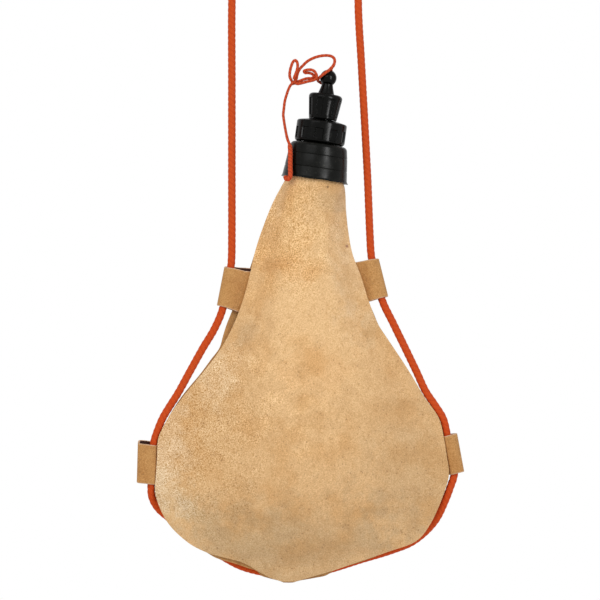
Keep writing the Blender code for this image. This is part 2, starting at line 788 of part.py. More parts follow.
def cord_loop(loop):
    """A leather strip folded round the cord: two legs in the seam, parting into a long eye."""
    name, place_share, lean, part_share, fold_share, height_share, top_share, foot_share, side = loop
    edge = np.array(FRONT_EDGE_SHARES)
    column = 1 if side < 0 else 2
    edge_x = side * belly_half_width * hermite(edge[:, 0], edge[:, [column]], np.array([place_share]))[0, 0]
    edge_z = leather_top_z - place_share * bag_height
    outer_half = loop_half_gap + loop_thickness
    leg_in = loop_slit / 2
    leg_out = leg_in + loop_thickness
    part = part_share * loop_reach
    reach = fold_share * loop_reach
    fold = reach - outer_half
    angles = [math.radians(-90 + 180 * index / loop_arc_points) for index in range(loop_arc_points + 1)]
    outside = [(-loop_tab_depth, -leg_out), (part - loop_thickness / 2, -leg_out),
               (part + loop_flare - loop_thickness / 2, -outer_half)]
    outside += [(fold + outer_half * math.cos(a), outer_half * math.sin(a)) for a in angles]
    outside += [(x, -y) for x, y in outside[2::-1]]
    inside = [(-loop_tab_depth, leg_in), (part, leg_in), (part + loop_flare, loop_half_gap)]
    inside += [(fold + loop_half_gap * math.cos(a), loop_half_gap * math.sin(a)) for a in reversed(angles)]
    inside += [(x, -y) for x, y in inside[2::-1]]
    strip = bmesh.new()
    rings = []
    for outer, inner in zip(outside, reversed(inside)):
        ring = []
        for (x, y), end in ((outer, 1), (outer, -1), (inner, -1), (inner, 1)):
            fall_share = top_share if end > 0 else foot_share
            level = loop_height * (end * height_share / 2 - fall_share * (1 - x / reach))
            ring.append(strip.verts.new((x, y, level)))
        rings.append(ring)
    for first, second in zip(rings, rings[1:]):
        for corner in range(4):
            other = (corner + 1) % 4
            strip.faces.new((first[corner], first[other], second[other], second[corner]))
    strip.faces.new(rings[0][::-1])
    strip.faces.new(rings[-1])
    bmesh.ops.recalc_face_normals(strip, faces=strip.faces)
    mesh = bpy.data.meshes.new(name)
    strip.to_mesh(mesh)
    strip.free()
    item = add_object(name, mesh, loop_leather)
    item.location = (edge_x, 0, edge_z)
    item.rotation_euler = (0, -math.radians(lean), 0 if side > 0 else math.pi)
    return item


for loop_shares in LOOP_SHARES:
    cord_loop(loop_shares)


# Carry cord and its knot

cord_line, cord_length = smooth_route(CORD_ROUTE)
tube("carry_cord", cord_line, cord_diameter, orange_cord)
print("carry cord length", round(cord_length, 4))


def cord_knot():
    """The knot that closes the carry cord: a fat barrel of wraps with rounded ends."""
    profile = []
    for index in range(knot_rows + 1):
        share = index / knot_rows
        height = cord_knot_length * (0.5 - share)
        across = knot_end_share + (1 - 2 * knot_end_share) * share
        swell = math.sin(math.pi * across) ** knot_fullness
        wrap = 1 - knot_wrap_share * math.sin(math.pi * knot_wraps * share) ** 2
        profile.append((cord_knot_radius * swell * wrap, height))
    profile = [(0, profile[0][1])] + profile + [(0, profile[-1][1])]
    item = turned("carry_cord_knot", profile, orange_cord, knot_steps)
    item.parent = None
    item.location = KNOT_PLACE
    item.rotation_euler = (0, KNOT_LEAN + math.pi / 2, 0)
    return item


cord_knot()


# Keeper cord and its knot at the ball

keeper_line, keeper_length = smooth_route(KEEPER_ROUTE)
hitch = [keeper_hitch_share if point[2] < keeper_hitch_top else 1.0 for point in keeper_line]
tube("keeper_cord", keeper_line, keeper_diameter, orange_cord, radii=hitch, resolution=1)
print("keeper cord length", round(keeper_length, 4))

loop_line, loop_length = smooth_route(KEEPER_LOOP_ROUTE)
tube("keeper_loop", loop_line, keeper_diameter, orange_cord, resolution=1)
print("keeper loop length", round(loop_length, 4))

bow_line, bow_length = smooth_route(KEEPER_BOW_ROUTE)
tube("keeper_bow", bow_line, keeper_diameter, orange_cord, resolution=1)
tail_line, tail_length = smooth_route(KEEPER_TAIL_ROUTE)
tube("keeper_tail", tail_line, keeper_diameter, orange_cord, resolution=1)
print("keeper bow and tail lengths", round(bow_length, 4), round(tail_length, 4))


def keeper_knot():
    """The small knot where the keeper cord ends and its loop begins."""
    mesh = bpy.data.meshes.new("keeper_knot")
    ball = bmesh.new()
    bmesh.ops.create_uvsphere(ball, u_segments=12, v_segments=8, radius=keeper_knot_radius)
    ball.to_mesh(mesh)
    ball.free()
    mesh.shade_smooth()
    item = add_object("keeper_knot", mesh, orange_cord)
    item.location = KEEPER_KNOT_PLACE
    return item


keeper_knot()
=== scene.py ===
# A leather bota bag that hangs by its own cord, with a black screw nozzle and a tied cap.
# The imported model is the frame, and each section below dresses one piece of it, in metres,
# in the order in which the bag is put together.
import json
import math

import bmesh
import bpy
import numpy as np
from mathutils import Matrix, Vector, noise


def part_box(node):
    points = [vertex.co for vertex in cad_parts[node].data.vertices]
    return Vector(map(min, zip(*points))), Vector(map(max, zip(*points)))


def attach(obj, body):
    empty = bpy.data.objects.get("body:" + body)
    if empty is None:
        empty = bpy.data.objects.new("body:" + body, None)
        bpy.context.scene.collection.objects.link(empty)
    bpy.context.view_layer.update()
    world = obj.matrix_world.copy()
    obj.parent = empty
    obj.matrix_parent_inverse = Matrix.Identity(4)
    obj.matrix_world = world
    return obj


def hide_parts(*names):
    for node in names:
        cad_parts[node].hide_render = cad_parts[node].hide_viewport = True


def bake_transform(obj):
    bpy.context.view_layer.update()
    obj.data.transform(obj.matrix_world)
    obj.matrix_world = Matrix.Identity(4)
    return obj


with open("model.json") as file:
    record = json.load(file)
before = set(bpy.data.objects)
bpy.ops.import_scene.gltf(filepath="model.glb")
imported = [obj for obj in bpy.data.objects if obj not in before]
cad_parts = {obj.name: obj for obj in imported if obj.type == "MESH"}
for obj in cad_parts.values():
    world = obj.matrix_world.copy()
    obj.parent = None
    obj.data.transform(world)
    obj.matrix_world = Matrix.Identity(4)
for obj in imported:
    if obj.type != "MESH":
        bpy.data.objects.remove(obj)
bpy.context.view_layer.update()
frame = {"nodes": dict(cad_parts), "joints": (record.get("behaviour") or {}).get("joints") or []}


# The studio
# A white room: the bag is looked at square on from a little way off, against plain white.
# Large soft lamps stand high on the left and on the right, a strip beside them draws the gloss on
# the black plastic, and a pale floor lies below.
view_distance = 1.8
view_side = 0.0036
view_height = -0.225
lens_length = 180
room_strength = 0.62
floor_level = -0.47
floor_width = 1.1
floor_tone = (0.86, 0.86, 0.86, 1)
floor_glow = 0.30
white = (1.0, 1.0, 1.0, 1.0)


def add_node(tree, kind, sockets=None, **settings):
    """Place a shader node: sockets are its inputs, linked or set, and settings its own options."""
    made = tree.nodes.new("ShaderNode" + kind)
    for key, value in settings.items():
        setattr(made, key, value)
    for key, value in (sockets or {}).items():
        if isinstance(value, bpy.types.NodeSocket):
            tree.links.new(value, made.inputs[key])
        else:
            made.inputs[key].default_value = value
    return made


def sum_of(tree, operation, first, second=0.0, third=0.0):
    """The result of one sum on two or three values."""
    return add_node(tree, "Math", {0: first, 1: second, 2: third}, operation=operation).outputs[0]


def seen_directly(tree):
    """One where a ray comes from the camera, or through gloss or glass, and nought elsewhere."""
    path = add_node(tree, "LightPath").outputs
    either = sum_of(tree, "MAXIMUM", path["Is Camera Ray"], path["Is Glossy Ray"])
    return sum_of(tree, "MAXIMUM", either, path["Is Transmission Ray"])


def blank_material(name, roughness, **constants):
    """A material with its shader's constants set; gives the material, its tree and its shader."""
    made = bpy.data.materials.new(name)
    made.use_nodes = True
    shader = made.node_tree.nodes["Principled BSDF"]
    shader.inputs["Roughness"].default_value = roughness
    for key, value in constants.items():
        shader.inputs[key.replace("_", " ")].default_value = value
    return made, made.node_tree, shader


world = bpy.data.worlds.new("white_room")
bpy.context.scene.world = world
world.use_nodes = True
room = world.node_tree
room.nodes.clear()
room_light = add_node(room, "Background", {"Color": white, "Strength": room_strength}).outputs[0]
room_white = add_node(room, "Background", {"Color": white, "Strength": 1.0}).outputs[0]
room_mix = add_node(room, "MixShader", {0: seen_directly(room), 1: room_light, 2: room_white}).outputs[0]
add_node(room, "OutputWorld", {"Surface": room_mix})
bpy.context.scene.view_settings.view_transform = "Standard"

bpy.ops.object.camera_add(location=(view_side, -view_distance, view_height),
                          rotation=(math.radians(90), 0, 0))
camera = bpy.context.object
camera.name = "portrait_camera"
camera.data.lens = lens_length
bpy.context.scene.camera = camera


def soft_lamp(name, place, width, height, power, only_gloss=False):
    """A large soft lamp turned towards the middle of the bag, or a strip that only gloss shows."""
    bpy.ops.object.light_add(type="AREA", location=place)
    lamp = bpy.context.object
    lamp.name = name
    lamp.data.shape = "RECTANGLE"
    lamp.data.size = width
    lamp.data.size_y = height
    lamp.data.energy = power
    towards = Vector((0, 0, view_height)) - Vector(place)
    lamp.rotation_euler = towards.to_track_quat("-Z", "Y").to_euler()
    lamp.visible_diffuse = not only_gloss


soft_lamp("key_lamp", place=(-0.70, -1.30, 0.65), width=1.20, height=0.80, power=7.5)
soft_lamp("fill_lamp", place=(0.80, -1.15, 0.20), width=0.60, height=0.90, power=3.0)
soft_lamp("gloss_strip", place=(0.86, -1.10, -0.05), width=0.30, height=1.10, power=17.0, only_gloss=True)

bpy.ops.mesh.primitive_plane_add(size=floor_width, location=(0, 0, floor_level))
floor = bpy.context.object
floor.name = "pale_floor"
floor_paint, floor_tree, floor_shader = blank_material(
    "pale_floor", 0.9, Base_Color=floor_tone, Emission_Color=white)
floor_tree.links.new(sum_of(floor_tree, "MULTIPLY", seen_directly(floor_tree), floor_glow),
                     floor_shader.inputs["Emission Strength"])
floor.data.materials.append(floor_paint)


# The leather panels
# Two panels of pale tan suede, 2 mm thick, cut to a pear shape and closed along their rims.
# The back one is a little larger at the left flank and under the bottom, and peeps out there.
bag_height = 0.2420
belly_half_width = 0.0900
belly_depth = 0.0215
leather_thickness = 0.0020
rim_width = 0.0080
rim_softness = 0.0050
rim_steps = 7
touch_gap = 0.0003
leather_top_z = -0.1518
grip_foot = 0.0073
grip_top = 0.0165
grip_radius = 0.0126
skirt_inner_radius = 0.0177
skirt_spread = 0.0006
panel_columns = 120
panel_rows = 210
seam_share = 0.35
calm_rim_width = 0.012
calm_neck_height = 0.020
cut_round = 0.0004
cut_angle = math.radians(60)
smooth_angle = math.radians(40)
nap_depth = 0.00022
nap_strength = 0.9

neck_turn = next(joint for joint in frame["joints"] if joint["name"] == "nozzle_turn")
neck_foot = Vector(neck_turn["pos_m"])
neck_axis = Vector(neck_turn["axis"]).normalized()
neck_lean = math.atan2(neck_axis.x, neck_axis.z)
neck_frame = Matrix.Translation(neck_foot) @ Matrix.Rotation(neck_lean, 4, "Y")

# Edge of the front panel: height share, then left and right as shares of the belly's half width
FRONT_EDGE_SHARES = (
    (0.030, 0.085, 0.344), (0.064, 0.134, 0.347), (0.124, 0.202, 0.362), (0.183, 0.257, 0.389),
    (0.243, 0.296, 0.445), (0.302, 0.339, 0.495), (0.362, 0.400, 0.560), (0.421, 0.485, 0.664),
    (0.481, 0.604, 0.770), (0.540, 0.735, 0.864), (0.600, 0.847, 0.970), (0.645, 0.903, 0.998),
    (0.689, 0.911, 1.017), (0.734, 0.918, 1.031), (0.779, 0.924, 1.000), (0.818, 0.893, 0.960),
    (0.858, 0.833, 0.907), (0.898, 0.724, 0.820), (0.927, 0.587, 0.620), (0.955, 0.330, 0.400),
    (0.977, 0.227, 0.225), (0.993, 0.140, 0.070), (1.000, 0.080, 0.010),
)
BACK_EDGE_SHARES = FRONT_EDGE_SHARES[:4] + (
    (0.243, 0.312, 0.445), (0.302, 0.382, 0.495), (0.338, 0.423, 0.533), (0.362, 0.447, 0.560),
    (0.392, 0.474, 0.612), (0.421, 0.497, 0.664), (0.450, 0.554, 0.717), (0.481, 0.615, 0.770),
    (0.540, 0.745, 0.864),
) + FRONT_EDGE_SHARES[10:18] + (
    (0.927, 0.589, 0.620), (0.942, 0.520, 0.520), (0.955, 0.405, 0.420), (0.966, 0.318, 0.320),
    (0.977, 0.240, 0.250), (0.984, 0.225, 0.222),
    (0.992, 0.170, 0.132), (1.000, 0.090, 0.020), (1.003, 0.070, -0.005),
)

# How far each panel bulges: height share, share of the belly's depth, roundness
BULGE_SHARES = (
    (0.000, 0.830, 0.50), (0.100, 0.800, 0.55), (0.200, 0.790, 0.66), (0.300, 0.820, 0.85),
    (0.450, 0.910, 1.05), (0.600, 0.990, 1.12), (0.700, 1.000, 1.15), (0.800, 0.870, 1.15),
    (0.880, 0.580, 1.15), (0.940, 0.230, 1.15), (0.970, 0.060, 1.15), (1.010, 0.000, 1.15),
)

# Shallow hollows in the front: middle (x, z), half width, half height, depth
HOLLOWS = (
    (-0.0235, -0.2445, 0.0105, 0.0190, 0.0013), (0.0430, -0.2460, 0.0085, 0.0230, 0.0013),
    (0.0660, -0.2930, 0.0120, 0.0150, 0.0011), (-0.0560, -0.3230, 0.0130, 0.0200, 0.0009),
    (0.0080, -0.2900, 0.0260, 0.0150, -0.0010), (-0.0200, -0.3560, 0.0250, 0.0110, 0.0008),
    (0.0480, -0.3480, 0.0240, 0.0110, 0.0008), (0.0140, -0.2160, 0.0080, 0.0200, -0.0006),
)

# Short creases in the front: start (x, z), end (x, z), half width, depth
CREASES = (
    (-0.0660, -0.3362, -0.0545, -0.3394, 0.0009, 0.00045),
    (-0.0700, -0.3335, -0.0655, -0.3365, 0.0008, 0.00030),
    (0.0640, -0.3432, 0.0870, -0.3338, 0.0012, 0.00035),
    (-0.0700, -0.2680, -0.0560, -0.2750, 0.0014, 0.00030),
    (0.0250, -0.3570, 0.0450, -0.3500, 0.0014, 0.00030),
    (-0.0060, -0.2050, 0.0020, -0.2230, 0.0016, 0.00025),
)

# Slow waves in both panels: depth, scale, seed
WAVES = ((0.00055, 34.0, 3.0), (0.00022, 95.0, 8.0))


def smooth_values(at, values, where):
    """Read a smooth curve through values, given at rising places, at the places where."""
    at = np.asarray(at, dtype=float)
    values = np.asarray(values, dtype=float)
    slopes = np.gradient(values, at, axis=0)
    index = np.clip(np.searchsorted(at, where, side="right") - 1, 0, len(at) - 2)
    span = at[index + 1] - at[index]
    t = ((where - at[index]) / span)[:, None]
    span = span[:, None]
    return ((2 * t**3 - 3 * t**2 + 1) * values[index] + (t**3 - 2 * t**2 + t) * span * slopes[index]
            + (3 * t**2 - 2 * t**3) * values[index + 1] + (t**3 - t**2) * span * slopes[index + 1])


def eased(share):
    """Nought to one with soft ends."""
    share = np.clip(share, 0, 1)
    return share * share * (3 - 2 * share)


def reshape(piece, change):
    """Move a piece's points: change turns them all, one to a row, into new ones."""
    flat = np.zeros(len(piece.data.vertices) * 3)
    piece.data.vertices.foreach_get("co", flat)
    piece.data.vertices.foreach_set("co", change(flat.reshape(-1, 3)).ravel())
    piece.data.update()


def lay_grid(name, columns, rows, place):
    """A grid primitive laid along a shape: place turns its shares across and down into points."""
    bpy.ops.object.select_all(action="DESELECT")
    bpy.ops.mesh.primitive_grid_add(x_subdivisions=columns, y_subdivisions=rows, size=1)
    piece = bpy.context.object
    piece.name = name
    reshape(piece, lambda flat: place(flat[:, 0] + 0.5, 0.5 - flat[:, 1]))
    return piece


def select_only(piece):
    """Make one piece the only one selected, and the active one."""
    bpy.ops.object.select_all(action="DESELECT")
    bpy.context.view_layer.objects.active = piece
    piece.select_set(True)


def apply_modifiers(piece):
    """Apply every modifier of a piece."""
    select_only(piece)
    for modifier in list(piece.modifiers):
        bpy.ops.object.modifier_apply(modifier=modifier.name)


def round_edges(piece, width, segments, angle):
    """Round off the edges of a piece that are sharper than an angle."""
    rounding = piece.modifiers.new("edges", "BEVEL")
    rounding.width = width
    rounding.segments = segments
    rounding.limit_method = "ANGLE"
    rounding.angle_limit = angle
    return rounding


def thicken(piece, thickness, offset, finishes):
    """Give a laid grid its thickness, with finishes for the laid side, the cut edge and the far side."""
    for finish in finishes:
        piece.data.materials.append(finish)
    solid = piece.modifiers.new("leather", "SOLIDIFY")
    solid.thickness = thickness
    solid.offset = offset
    solid.material_offset_rim = 1
    solid.material_offset = 2
    round_edges(piece, cut_round, 2, cut_angle).material = 1
    apply_modifiers(piece)


def noise_at(points, scale, seed):
    """Smooth noise at each point, about -1 to 1 and the same each run; the seed shifts it."""
    shift = Vector((seed, seed * 0.7, seed * 1.3))
    return np.array([noise.noise(Vector(point) * scale + shift) for point in points])


def cross_lines(edge_shares):
    """A panel's cross lines, top to bottom: middle (x, z), half width, lean, depth, roundness, rim."""
    lines = []
    stretch = ((grip_top, grip_radius, 0.0), (grip_foot, grip_radius, 0.0),
               ((grip_foot + leather_thickness) / 2, (grip_radius + skirt_inner_radius) / 2, 0.0),
               (leather_thickness / 2, skirt_inner_radius - leather_thickness / 4, 0.0),
               (-leather_thickness, skirt_inner_radius + skirt_spread / 2, skirt_spread))
    for height, radius, aside in stretch:
        centre = neck_foot + neck_axis * height + Vector((aside, 0, 0))
        lines.append((centre.x, centre.z, radius, neck_lean, radius, BULGE_SHARES[0][2], 0.0))
    edge = np.array(edge_shares)
    bulge = np.array(BULGE_SHARES)
    swells = smooth_values(bulge[:, 0], bulge[:, 1:], edge[:, 0])
    for (place, left, right), (swell, roundness) in zip(edge, swells):
        lean = neck_lean * max(0.0, 1 - place / FRONT_EDGE_SHARES[4][0])
        flat = rim_width * min(1.0, place / FRONT_EDGE_SHARES[3][0])
        lines.append((belly_half_width * (right - left) / 2, leather_top_z - place * bag_height,
                      belly_half_width * (left + right) / 2, lean, max(0.0, swell) * belly_depth,
                      roundness, flat))
    return np.array(lines)


def loop_room(z, side):
    """How far the panels part where the legs of a cord loop lie between them."""
    parted = np.zeros_like(z)
    for loop in LOOPS:
        middle = leather_top_z - loop["height_share"] * bag_height
        past = np.abs(z - middle) - loop["height"] / 2 - 2 * leather_thickness
        near = 1 - eased(past / loop_fade)
        parted = np.maximum(parted, np.where(side == loop["side"], near, 0.0))
    return parted * (loop_thickness + loop_slit / 2)


# The cord loops set how far the rims part, so their sizes stand with the panels
loop_thickness = 0.0012
loop_slit = 0.0003
loop_fade = 0.0110
LOOPS = (
    {"name": "loop_upper_left", "height_share": 0.280, "lean": 11.0, "part": 0.0070, "reach": 0.0154,
     "height": 0.0234, "top_fall": 0.0, "foot_fall": 0.0017, "back_rise": (0.0026, 0.0004), "side": -1},
    {"name": "loop_upper_right", "height_share": 0.259, "lean": 14.0, "part": 0.0042, "reach": 0.0128,
     "height": 0.0235, "top_fall": -0.0009, "foot_fall": 0.0003, "back_rise": (0.0, 0.0), "side": 1},
    {"name": "loop_lower_left", "height_share": 0.7065, "lean": 1.5, "part": 0.0002, "reach": 0.0118,
     "height": 0.0238, "top_fall": 0.0012, "foot_fall": 0.0010, "back_rise": (0.0014, 0.0016), "side": -1},
    {"name": "loop_lower_right", "height_share": 0.687, "lean": 10.5, "part": 0.0002, "reach": 0.0087,
     "height": 0.0235, "top_fall": 0.0, "foot_fall": 0.0, "back_rise": (0.0, 0.0), "side": 1},
)


def leather_relief(points, facing):
    """How far the leather lies below its plain bulge: slow waves, and in front hollows and creases."""
    x, z = points[:, 0], points[:, 2]
    depth = sum(deep * noise_at(points, scale, seed + facing) for deep, scale, seed in WAVES)
    if facing < 0:
        for middle_x, middle_z, wide, high, deep in HOLLOWS:
            depth += deep * np.exp(-((x - middle_x) / wide) ** 2 - ((z - middle_z) / high) ** 2)
        for start_x, start_z, end_x, end_z, wide, deep in CREASES:
            run_x, run_z = end_x - start_x, end_z - start_z
            along = ((x - start_x) * run_x + (z - start_z) * run_z) / (run_x**2 + run_z**2)
            inside = np.clip(along, 0, 1)
            away = np.hypot(x - start_x - inside * run_x, z - start_z - inside * run_z)
            depth += deep * np.exp(-(away / wide) ** 2) * eased(4 * inside) * eased(4 - 4 * inside)
    return depth


def leather_panel(name, edge_shares, facing, finishes):
    """One panel, laid as a grid through the bag's cross lines and thickened inwards."""
    lines = cross_lines(edge_shares)
    steps = np.hypot(np.diff(lines[:, 1]), np.diff(lines[:, 2]))
    run = np.concatenate(([0.0], np.cumsum(steps)))

    def place(across, down):
        centre_x, centre_z, half, lean, depth, roundness, flat = smooth_values(run, lines, down * run[-1]).T
        share = np.sin(math.pi * (across - 0.5))
        inner = 1 - np.clip(flat, 0, None) / half
        softness = np.clip(flat, 0, rim_softness) / half
        swell = np.zeros_like(share)
        for step in np.linspace(-1, 1, rim_steps):
            past = (share + step * softness) / inner
            swell += np.clip(1 - past**2, 0, None) ** roundness / rim_steps
        stand = touch_gap / 2 + leather_thickness * eased(4 * flat / rim_width)
        x = centre_x + np.cos(lean) * half * share
        z = centre_z - np.sin(lean) * half * share
        weight = np.clip(np.abs(share) / seam_share - 1, 0, 1)
        parted = weight * loop_room(z, np.sign(share))
        points = np.stack((x, np.zeros_like(x), z), axis=1)
        calm = eased((1 - np.abs(share)) * half / calm_rim_width)
        calm *= eased((leather_top_z - z) / calm_neck_height)
        relief = calm * leather_relief(points, facing)
        points[:, 1] = facing * (stand + np.maximum(0, depth - stand) * swell + parted - relief)
        return points

    piece = lay_grid(name, panel_columns, panel_rows, place)
    if facing > 0:
        piece.data.flip_normals()
    thicken(piece, leather_thickness, -1, finishes)
    bpy.ops.object.shade_smooth_by_angle(angle=smooth_angle)
    return piece


def screen_colour(red, green, blue):
    """A colour as seen on a screen, 0 to 255, in linear values."""
    shares = [level / 255 for level in (red, green, blue)]
    return tuple(s / 12.92 if s <= 0.04045 else ((s + 0.055) / 1.055) ** 2.4 for s in shares) + (1.0,)


def mixed(tree, share, first, second, mode="MIX"):
    """Two colours mixed by a share."""
    sockets = {0: share, 6: first, 7: second}
    return add_node(tree, "Mix", sockets, data_type="RGBA", blend_type=mode).outputs[2]


def ranged(tree, value, low, high, to_low=0.0, to_high=1.0):
    """A value moved smoothly from one range to another."""
    sockets = {0: value, 1: low, 2: high, 3: to_low, 4: to_high}
    return add_node(tree, "MapRange", sockets, interpolation_type="SMOOTHSTEP").outputs[0]


def noise_value(tree, vector, scale, detail=2.0, roughness=0.5):
    """A noise pattern, about 0 to 1."""
    sockets = {"Vector": vector, "Scale": scale, "Detail": detail, "Roughness": roughness}
    return add_node(tree, "TexNoise", sockets).outputs[0]


def vector_sum(tree, operation, first, second, third=(0, 0, 0)):
    """The result of one sum on two or three vectors or colours."""
    return add_node(tree, "VectorMath", {0: first, 1: second, 2: third}, operation=operation).outputs[0]


def group_of(name, inputs, outputs):
    """An empty shader group with named sockets; gives the group, what it takes and what it puts out."""
    made = bpy.data.node_groups.new(name, "ShaderNodeTree")
    for sockets, way in ((inputs, "INPUT"), (outputs, "OUTPUT")):
        for label, kind in sockets.items():
            made.interface.new_socket(label, in_out=way, socket_type="NodeSocket" + kind)
    return made, made.nodes.new("NodeGroupInput").outputs, made.nodes.new("NodeGroupOutput").inputs


def object_place(tree):
    """Object coordinates."""
    return add_node(tree, "TexCoord").outputs["Object"]


def feed_shader(tree, shader, colour, height, depth, strength=1.0):
    """Lead a colour to the shader, and a height pattern to its normal."""
    tree.links.new(colour, shader.inputs["Base Color"])
    bump = add_node(tree, "Bump", {"Height": height, "Distance": depth, "Strength": strength})
    tree.links.new(bump.outputs["Normal"], shader.inputs["Normal"])


def mottled(name, roughness, grain, spread, light, dark, depth, relief=None, **constants):
    """A finish whose grain mixes a light and a dark tone; its relief is that grain or one of its own."""
    made, tree, shader = blank_material(name, roughness, **constants)
    pattern = noise_value(tree, object_place(tree), *grain)
    colour = mixed(tree, ranged(tree, pattern, *spread), screen_colour(*light), screen_colour(*dark))
    height = noise_value(tree, object_place(tree), *relief) if relief else pattern
    feed_shader(tree, shader, colour, height, depth)
    return made


# Suede: a soft mottle, a fine speckle of nap, and small dark pores
suede_grain, suede_in, suede_out = group_of(
    "suede_grain",
    {"Vector": "Vector", "Tone": "Color", "Dark tone": "Color", "Warm tone": "Color", "Speckle": "Float"},
    {"Color": "Color", "Height": "Float"})
speckle_tint = (0.75, 1.00, 1.45)
cloudy = noise_value(suede_grain, suede_in["Vector"], 42.0, 3.0, 0.55)
patchy = noise_value(suede_grain, suede_in["Vector"], 190.0, 3.0, 0.6)
nap = noise_value(suede_grain, suede_in["Vector"], 1400.0, 2.0, 0.6)
pores = add_node(suede_grain, "TexVoronoi", {"Vector": suede_in["Vector"], "Scale": 420.0})
pore_mask = ranged(suede_grain, pores.outputs["Distance"], 0.10, 0.26, 1.0, 0.0)
pore_mask = sum_of(suede_grain, "MULTIPLY", pore_mask, ranged(suede_grain, patchy, 0.42, 0.60))
warm_share = ranged(suede_grain, cloudy, 0.42, 0.68, 0.0, 0.7)
dark_share = ranged(suede_grain, patchy, 0.46, 0.74, 0.0, 0.4)
pore_share = sum_of(suede_grain, "MULTIPLY", pore_mask, 0.55)
tone = mixed(suede_grain, warm_share, suede_in["Tone"], suede_in["Warm tone"])
tone = mixed(suede_grain, dark_share, tone, suede_in["Dark tone"])
tone = mixed(suede_grain, pore_share, tone, screen_colour(166, 120, 76))
fleck = sum_of(suede_grain, "MULTIPLY", sum_of(suede_grain, "SUBTRACT", nap, 0.5), suede_in["Speckle"])
sway = vector_sum(suede_grain, "MULTIPLY_ADD", speckle_tint, fleck, (1, 1, 1))
height = sum_of(suede_grain, "SUBTRACT", nap, sum_of(suede_grain, "MULTIPLY", pore_mask, 0.5))
suede_grain.links.new(vector_sum(suede_grain, "MULTIPLY", tone, sway), suede_out["Color"])
suede_grain.links.new(height, suede_out["Height"])


def suede_surface(tree, place, tone, dark_tone, warm_tone, speckle):
    """The suede group with one leather's own colours."""
    sockets = {"Vector": place, "Tone": screen_colour(*tone), "Dark tone": screen_colour(*dark_tone),
               "Warm tone": screen_colour(*warm_tone), "Speckle": speckle}
    made = add_node(tree, "Group", sockets, node_tree=suede_grain)
    return made.outputs["Color"], made.outputs["Height"]


def soft_patch(tree, place, ragged, middle_x, middle_z, wide, high):
    """A soft-edged ragged patch on the bag, one in its middle and nought outside."""
    apart = vector_sum(tree, "SUBTRACT", place, (middle_x, 0, middle_z))
    flat = vector_sum(tree, "MULTIPLY", apart, (1 / wide, 0, 1 / high))
    away = add_node(tree, "VectorMath", {0: flat}, operation="LENGTH").outputs["Value"]
    return ranged(tree, sum_of(tree, "ADD", away, ragged), 0.35, 1.25, 1.0, 0.0)


# Stains of the front and back leather, with painted light and shade among them: middle (x, z), half width,
# half height, colour, strength
STAINS_AND_PAINTED_LIGHT = (
    # Painted light: this row lightens the upper middle, as though lit from above.
    (0.010, -0.225, 0.045, 0.090, (236, 192, 136), 0.90),
    (-0.002, -0.188, 0.026, 0.026, (228, 182, 124), 0.45),
    (-0.002, -0.207, 0.016, 0.009, (214, 164, 108), 0.45),
    (0.034, -0.200, 0.012, 0.040, (216, 186, 146), 0.45),
    (0.024, -0.166, 0.016, 0.008, (196, 158, 112), 0.50),
    (-0.0132, -0.2046, 0.0090, 0.0055, (206, 156, 100), 0.60),
    (0.0030, -0.1630, 0.0110, 0.0090, (212, 164, 106), 0.50),
    (0.0110, -0.2680, 0.0240, 0.0150, (212, 162, 106), 0.40),
    (0.0560, -0.2925, 0.0180, 0.0100, (208, 160, 104), 0.45),
    # Painted shade: the next two rows darken the hollows at the left and right flanks.
    (-0.0285, -0.2450, 0.0080, 0.0110, (192, 156, 112), 0.55),
    (0.0460, -0.2410, 0.0065, 0.0150, (200, 166, 122), 0.50),
    (0.0316, -0.1927, 0.0012, 0.0012, (148, 96, 78), 0.80),
    (0.0202, -0.1577, 0.0010, 0.0010, (110, 80, 58), 0.80),
    # Painted shade: the next three rows darken the lower right and the bottom, as though turned away from the
    # light.
    (0.075, -0.335, 0.040, 0.060, (208, 170, 122), 0.60),
    (0.000, -0.385, 0.110, 0.045, (206, 168, 120), 0.90),
    (-0.030, -0.372, 0.040, 0.022, (204, 168, 120), 0.40),
    (-0.0790, -0.3080, 0.0180, 0.0540, (229, 194, 150), 0.70),
    (-0.0780, -0.3480, 0.0200, 0.0260, (226, 192, 142), 0.40),
    (-0.0500, -0.2620, 0.0190, 0.0340, (231, 196, 150), 0.60),
)

# Where the nap is rougher: middle (x, z), half width, half height
COARSE_PATCHES = ((-0.0700, -0.2950, 0.0600, 0.0600), (-0.0060, -0.1820, 0.0300, 0.0380))

suede, suede_tree, suede_shader = blank_material(
    "suede_leather", 0.92, Specular_IOR_Level=0.18, Sheen_Weight=0.10, Sheen_Roughness=0.5)
plain_suede = screen_colour(221, 177, 123)
here = object_place(suede_tree)
ragged = ranged(suede_tree, noise_value(suede_tree, here, 90.0, 4.0, 0.6), 0.3, 0.7, -0.35, 0.35)
coarse = sum_of(suede_tree, "MAXIMUM", *(soft_patch(suede_tree, here, ragged, *patch)
                                         for patch in COARSE_PATCHES))
colour, relief = suede_surface(suede_tree, here, (228, 185, 132), (202, 156, 104), (214, 164, 106),
                               sum_of(suede_tree, "MULTIPLY_ADD", coarse, 1.5, 1.2))
# Each row tints the suede: the real stains and the painted light and shade alike.
for *patch, stain_and_shade_colour, strength in STAINS_AND_PAINTED_LIGHT:
    share = sum_of(suede_tree, "MULTIPLY", soft_patch(suede_tree, here, ragged, *patch), strength)
    tint = tuple(stain_and_shade_level / plain for stain_and_shade_level, plain in zip(screen_colour(*stain_and_shade_colour), plain_suede))
    colour = mixed(suede_tree, share, colour, mixed(suede_tree, 1.0, colour, tint, "MULTIPLY"))
feed_shader(suede_tree, suede_shader, colour, relief, nap_depth, nap_strength)

cut_edge = mottled("cut_leather_edge", 0.95, (700.0, 4.0, 0.7), (0.35, 0.70), (226, 190, 158),
                   (176, 138, 100), depth=0.0003, Specular_IOR_Level=0.15)
grain_side = mottled("leather_grain_side", 0.75, (260.0, 4.0, 0.65), (0.35, 0.68), (198, 151, 94),
                     (174, 124, 72), depth=0.0003, Specular_IOR_Level=0.2)

